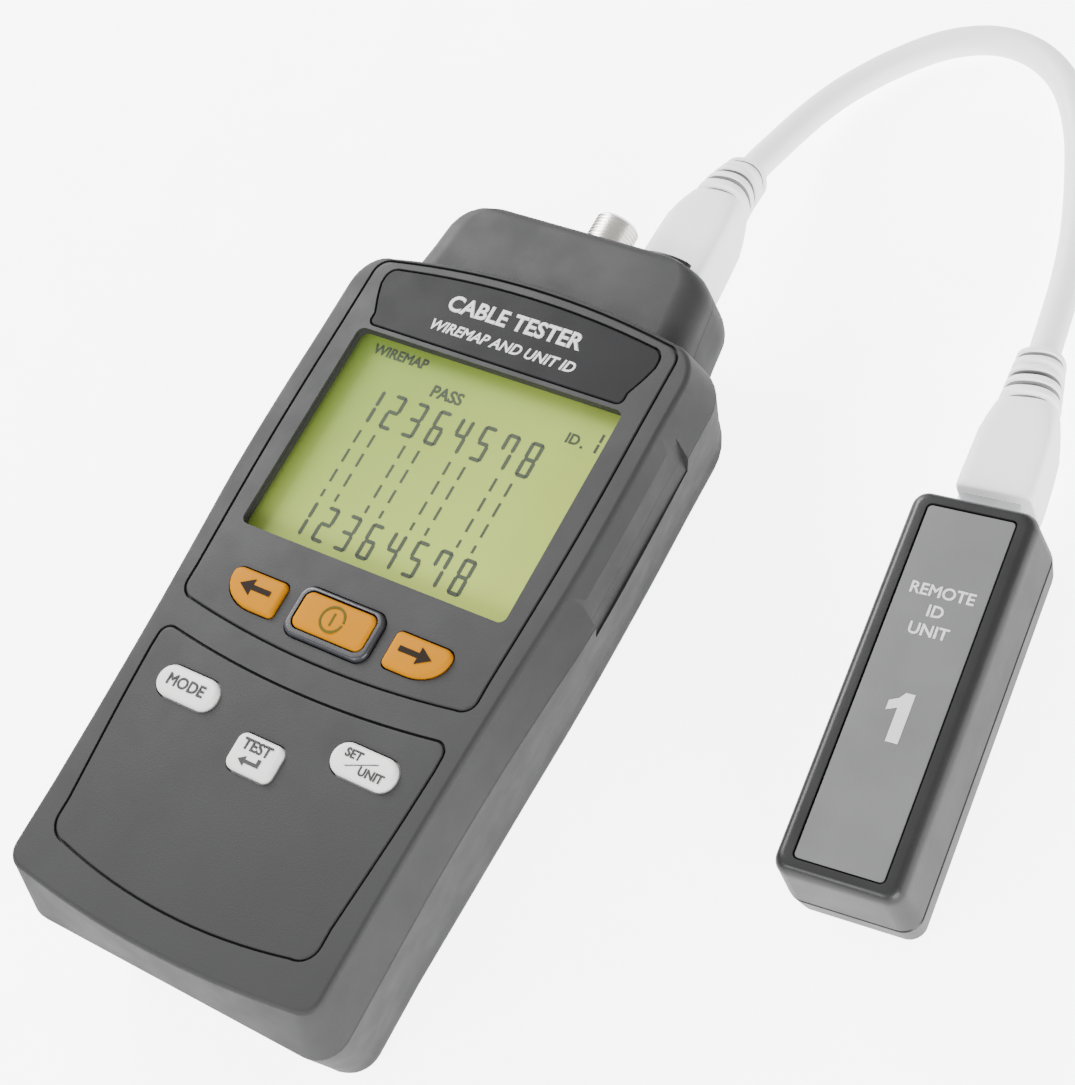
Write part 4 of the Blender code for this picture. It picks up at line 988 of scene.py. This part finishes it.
def coax_connector():
    low, high = box_mm("coax_barrel")
    centre = ((low.x + high.x) / 2, (low.z + high.z) / 2)
    crest, root, bore = 4.7, 4.25, 3.45
    pitch, count, lead_in = 0.794, 9, 0.55
    end = high.y
    profile = [(bore, end - 0.2), (bore + 0.2, end), (root - 0.1, end), (root, end - 0.1)]
    for k in range(count):
        y = end - lead_in - k * pitch
        profile += [(crest, y - 0.10), (crest, y - 0.22), (root, y - 0.47), (root, y - 0.60)]
    last = end - lead_in - count * pitch
    profile += [(crest, last), (crest, low.y), (bore, low.y)]
    barrel = new_object("coax_thread", lathe(profile, 64, centre))
    finish_piece(barrel, "nickel", "tester", ["coax_barrel"], sharp=25.0)
    sleeve_low, sleeve_high = box_mm("coax_insulator")
    inner = [(0.6, sleeve_high.y - 0.5), (1.1, sleeve_high.y), (3.0, sleeve_high.y),
             (3.2, sleeve_high.y - 0.2), (3.2, sleeve_low.y), (0.6, sleeve_low.y)]
    sleeve = new_object("coax_core", lathe(inner, 48, centre))
    finish_piece(sleeve, "white_key", "tester", ["coax_insulator"])


# look, width of the rounded edges, nodes
CARRIED_OVER = [
    ("lens", 0.0, ["lens"]), ("milky", 0.3, ["backlight"]),
    ("rubber", 0.2, ["zebra_strip"]), ("rubber", 0.3, ["keypad_mat"]),
    ("board", 0.0, ["main_board", "remote_board"]),
    ("black", 0.0, ["battery_lead_black"]), ("black", 0.2, ["controller_chip"]),
    ("black", 0.25, ["lan_jack", "phone_jack", "remote_jack"]),
    ("black", 0.4, ["buzzer"]), ("black", 0.5, ["battery_snap"]),
    ("gold", 0.0, [name + "_contacts" for name in
                   ("lan_jack", "phone_jack", "remote_jack", "plug_a", "plug_b")]),
    ("nickel", 0.2, ["coax_nut"]), ("battery_foil", 1.2, ["battery"]),
    ("red_wire", 0.0, ["battery_lead_red"]),
    ("clear", 0.3, ["plug_a", "plug_b"]), ("clear", 0.15, ["latch_a", "latch_b"]),
    ("steel", 0.0, [f"{place}_screw_{k}" for place in ("case", "board") for k in (1, 2, 3, 4)]),
    ("steel", 0.0, ["remote_screw_1", "remote_screw_2"]),
]


def round_edges(obj, width):
    edge = obj.modifiers.new("edge", "BEVEL")
    edge.width = width * MM
    edge.segments = 3
    edge.limit_method = "ANGLE"
    edge.angle_limit = math.radians(40)


def carried_over():
    """CAD nodes whose own shape is right: better materials and rounded edges."""
    for look, width, nodes in CARRIED_OVER:
        for obj in (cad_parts[node] for node in nodes):
            for part in obj.material_slots:
                part.material = MATERIALS[look]
            if width:
                round_edges(obj, width)


# ---- patch lead ----
CABLE_DIAMETER = 6.2
BOOT_LENGTH = 33.0
BOOT_SOLID = 20.8
BOOT_RIBS = 5
RIB_PITCH = (BOOT_LENGTH - BOOT_SOLID) / BOOT_RIBS
GROOVE_DEPTH = 1.15            # between the ribs
GROOVE_SHARE = 0.32            # of the pitch, the part that gets painted shade
BOOT_A_SPINE = [(17.5, 79.1, 21.6), (17.4, 90.0, 21.6), (16.9, 101.2, 20.4), (16.1, 110.8, 16.2)]
BOOT_B_SPINE = [(0.6, 41.7, 11.6), (0.4, 53.0, 11.6), (-0.6, 64.6, 11.3), (-1.9, 74.2, 9.8)]
CABLE_ROUTE = [
    (15.8, 116.8, 13.7), (15.9, 122.7, 11.2), (16.3, 129.5, 8.6), (17.5, 137.0, 6.2),
    (20.7, 145.3, 4.4),
    (26.8, 154.3, 3.1), (35.3, 161.3, 3.1), (45.0, 164.6, 3.1), (54.8, 163.2, 3.1),
    (63.5, 157.4, 3.1), (70.4, 147.7, 3.1), (75.6, 136.4, 3.1), (79.8, 125.0, 3.1),
    (82.6, 115.0, 3.7), (84.8, 106.0, 5.4),
]


def remote_to_world(point):
    c, s = math.cos(REMOTE_YAW), math.sin(REMOTE_YAW)
    return Vector((REMOTE_PLACE[0] + point[0] * c - point[1] * s,
                   REMOTE_PLACE[1] + point[0] * s + point[1] * c, point[2]))


def make_cable():
    start = Vector(BOOT_A_SPINE[-1])
    start_heading = (start - Vector(BOOT_A_SPINE[-2])).normalized()
    end = remote_to_world(BOOT_B_SPINE[-1])
    end_heading = (end - remote_to_world(BOOT_B_SPINE[-2])).normalized()
    route = [start + start_heading * SEAM, *[Vector(p) for p in CABLE_ROUTE],
             end + end_heading * SEAM]
    points = smooth_points(route, 1.5)
    curve = bpy.data.curves.new("patch_cable", "CURVE")
    curve.dimensions = "3D"
    curve.bevel_depth = CABLE_DIAMETER / 2 * MM
    curve.bevel_resolution = 8
    curve.use_fill_caps = True
    spline = curve.splines.new("POLY")
    spline.points.add(len(points) - 1)
    for target, point in zip(spline.points, points):
        target.co = (*(point * MM), 1.0)
    spline.use_smooth = True
    curve.materials.append(MATERIALS["white_pvc"])
    cable = linked("patch_cable", curve)
    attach(cable, "patch_lead")
    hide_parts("cable")
    length = running_lengths(points)[-1] * MM


def boot_sections():
    """(distance, half width, half height, squareness) along the boot."""
    sections = [(0.0, 6.9, 5.9, 8.0), (0.15, 7.15, 6.15, 8.0), (0.5, 7.35, 6.35, 8.0),
                (1.2, 7.4, 6.4, 8.0), (4.0, 7.35, 6.4, 8.0), (9.0, 7.2, 6.3, 7.5),
                (13.6, 7.0, 6.15, 7.0), (14.0, 6.85, 6.0, 7.0), (16.0, 6.6, 5.85, 6.0),
                (18.0, 6.3, 5.65, 4.5), (19.5, 6.05, 5.5, 3.6), (20.4, 5.85, 5.35, 3.2),
                (20.65, 5.6, 5.2, 3.0)]
    for k in range(BOOT_RIBS):
        crest = 5.75 - 0.25 * k
        for share, depth in ((0.0, GROOVE_DEPTH), (0.28, GROOVE_DEPTH), (0.34, 0.3), (0.44, 0.0),
                             (0.84, 0.08), (0.95, 0.4)):
            radius = crest - depth
            sections.append((BOOT_SOLID + k * RIB_PITCH + share * RIB_PITCH, radius, radius, 2.4))
    return sections


def paint_groove_shade(made, path, lengths):
    """Paint shade on the faces at the bottom of the grooves between the ribs, with a grey
    material.
    """
    made.data.materials.append(MATERIALS["groove"])
    for face in made.data.polygons:
        middle = face.center / MM
        nearest = min(range(len(path)), key=lambda k: (path[k] - middle).length_squared)
        along = lengths[nearest] * BOOT_LENGTH / lengths[-1] - BOOT_SOLID
        if along > -0.1 and (along % RIB_PITCH) / RIB_PITCH < GROOVE_SHARE:
            face.material_index = 1


def boot(name, spine, node, to_world):
    """Moulded boot lofted along its spine, from a square base to round ribs."""
    sides = 56
    path = smooth_points([to_world(p) for p in spine], 0.25)
    lengths = running_lengths(path)
    scale = lengths[-1] / BOOT_LENGTH
    rings = []
    for distance, half_width, half_height, power in boot_sections():
        target = distance * scale
        index = max(k for k, length in enumerate(lengths[:-1]) if length <= target + 1e-9)
        part = (target - lengths[index]) / (lengths[index + 1] - lengths[index])
        centre = path[index].lerp(path[index + 1], part)
        ahead = (path[index + 1] - path[index]).normalized()
        across = ahead.cross(Vector((0.0, 0.0, 1.0))).normalized()
        up = across.cross(ahead)
        ring = []
        for k in range(sides):
            angle = math.tau * (k + 0.5) / sides
            c, s = math.cos(angle), math.sin(angle)
            x = half_width * math.copysign(abs(c) ** (2 / power), c)
            z = half_height * math.copysign(abs(s) ** (2 / power), s)
            ring.append(centre + across * x + up * z)
        rings.append(ring)
    made = new_object(name, loft_bm(rings))
    finish_piece(made, "white_pvc", "patch_lead", [node], sharp=40.0)
    paint_groove_shade(made, path, lengths)


# ---- remote unit ----
def remote_ring(half_width, half_length, z, radius):
    outline = rounded_outline((-half_width, half_width), (-half_length, half_length), radius)
    return [tuple(remote_to_world((x, y, z))) for x, y in outline]


def on_remote(outline):
    """Outline in the remote's own plan, placed where the remote lies."""
    return [tuple(remote_to_world((x, y, 0.0)).to_2d()) for x, y in outline]


def remote_shells():
    length = REMOTE_HALF_LENGTH
    top_z, split = REMOTE_TOP_Z, REMOTE_SPLIT_Z
    rings = [remote_ring(*ring) for ring in (
        (12.2, length - 0.3, split + SEAM / 2, 3.4), (12.5, length, split + 0.5, 3.6),
        (11.9, length - 0.45, top_z - 3.2, 3.3))]
    for k in range(1, 7):
        angle = math.radians(15.0 * k)
        rings.append(remote_ring(11.9 - 2.0 * (1.0 - math.cos(angle)),
                                 length - 0.45 - 1.6 * (1.0 - math.cos(angle)),
                                 top_z - 3.0 * (1.0 - math.sin(angle)), 3.3 - 0.2 * k))
    top = new_object("remote_cover", loft_bm(rings))
    combine(top, loft_bm([remote_ring(10.8, length - 1.9, split - 1.0, 2.0),
                          remote_ring(9.9, length - 2.4, top_z - 2.4, 2.0)]))
    combine(top, prisms([remote_label_outline(0.35)], top_z - 1.0, top_z + 1.0))
    lower = [remote_ring(*ring) for ring in (
        (10.4, length - 2.0, 0.0, 2.4), (11.1, length - 1.3, 0.25, 2.8),
        (11.7, length - 0.8, 1.0, 3.2), (12.0, length - 0.5, 2.2, 3.4),
        (12.5, length, split - 0.5, 3.6), (12.2, length - 0.3, split - SEAM / 2, 3.4))]
    bottom = new_object("remote_base", loft_bm(lower))
    combine(bottom, loft_bm([remote_ring(10.0, length - 2.6, 1.8, 2.0),
                             remote_ring(10.8, length - 1.9, split + 1.0, 2.0)]))
    for shell in (top, bottom):
        combine(shell, remote_mouth())
    posts, wells = bmesh.new(), bmesh.new()
    for y in REMOTE_SCREWS_Y:
        centre = on_remote([(0.0, y)])[0]
        cylinder(posts, centre, 3.1, (1.0, split - SEAM), 24)
        cylinder(wells, centre, 1.9, (-2.0, 3.2), 24)
    combine(bottom, posts, "UNION")
    combine(bottom, wells)
    finish_piece(top, "remote", "remote", ["remote_top_case"])
    finish_piece(bottom, "remote", "remote", ["remote_bottom_case"])


def remote_label_outline(grow=0.0):
    half_x, half_y = LABEL_HALF[0] + grow, LABEL_HALF[1] + grow
    return on_remote(rounded_outline((-half_x, half_x), (-half_y, half_y), 0.8 + grow))


def remote_mouth():
    """Opening for the jack, turned with the remote."""
    along = (REMOTE_HALF_LENGTH - 6.0, REMOTE_HALF_LENGTH + 5.0)
    return prisms([on_remote(rectangle((-8.3, 8.3), along))], 4.2, 18.2)


def remote_label():
    low, high = box_mm("remote_label")
    label = new_object("remote_panel", edged_plate(
        lambda inset: offset_outline(remote_label_outline(), -inset), low.z, high.z, 0.1))
    finish_piece(label, "label", "remote", ["remote_label"])
    z = high.z + 0.03
    for name, text, y in (("remote_word", "REMOTE", 18.4), ("remote_id_word", "ID", 14.6),
                          ("remote_unit_word", "UNIT", 10.8)):
        lettering(name, text, remote_to_world((0.0, y, z)), 2.3, "ink_white", "remote",
                  0.07, turn=REMOTE_YAW)
    numeral = [(-0.3, -10.6), (2.0, -10.6), (2.0, -1.2), (0.3, -1.2), (-0.6, -2.4), (-2.2, -3.2),
               (-2.2, -5.0), (-0.3, -4.2)]
    mark("remote_number", [on_remote(numeral)], z, "ink_white", "remote")


# ---- build ----
make_camera()
MATERIALS = make_materials()
boot("boot_a_cover", BOOT_A_SPINE, "boot_a", Vector)
boot("boot_b_cover", BOOT_B_SPINE, "boot_b", remote_to_world)
make_cable()
make_lights()
make_floor()
front_shell()
back_shell()
lan_mouth_shade()
battery_cover()
front_panels()
keys()
display()
name_plate_print()
coax_connector()
remote_shells()
remote_label()
carried_over()
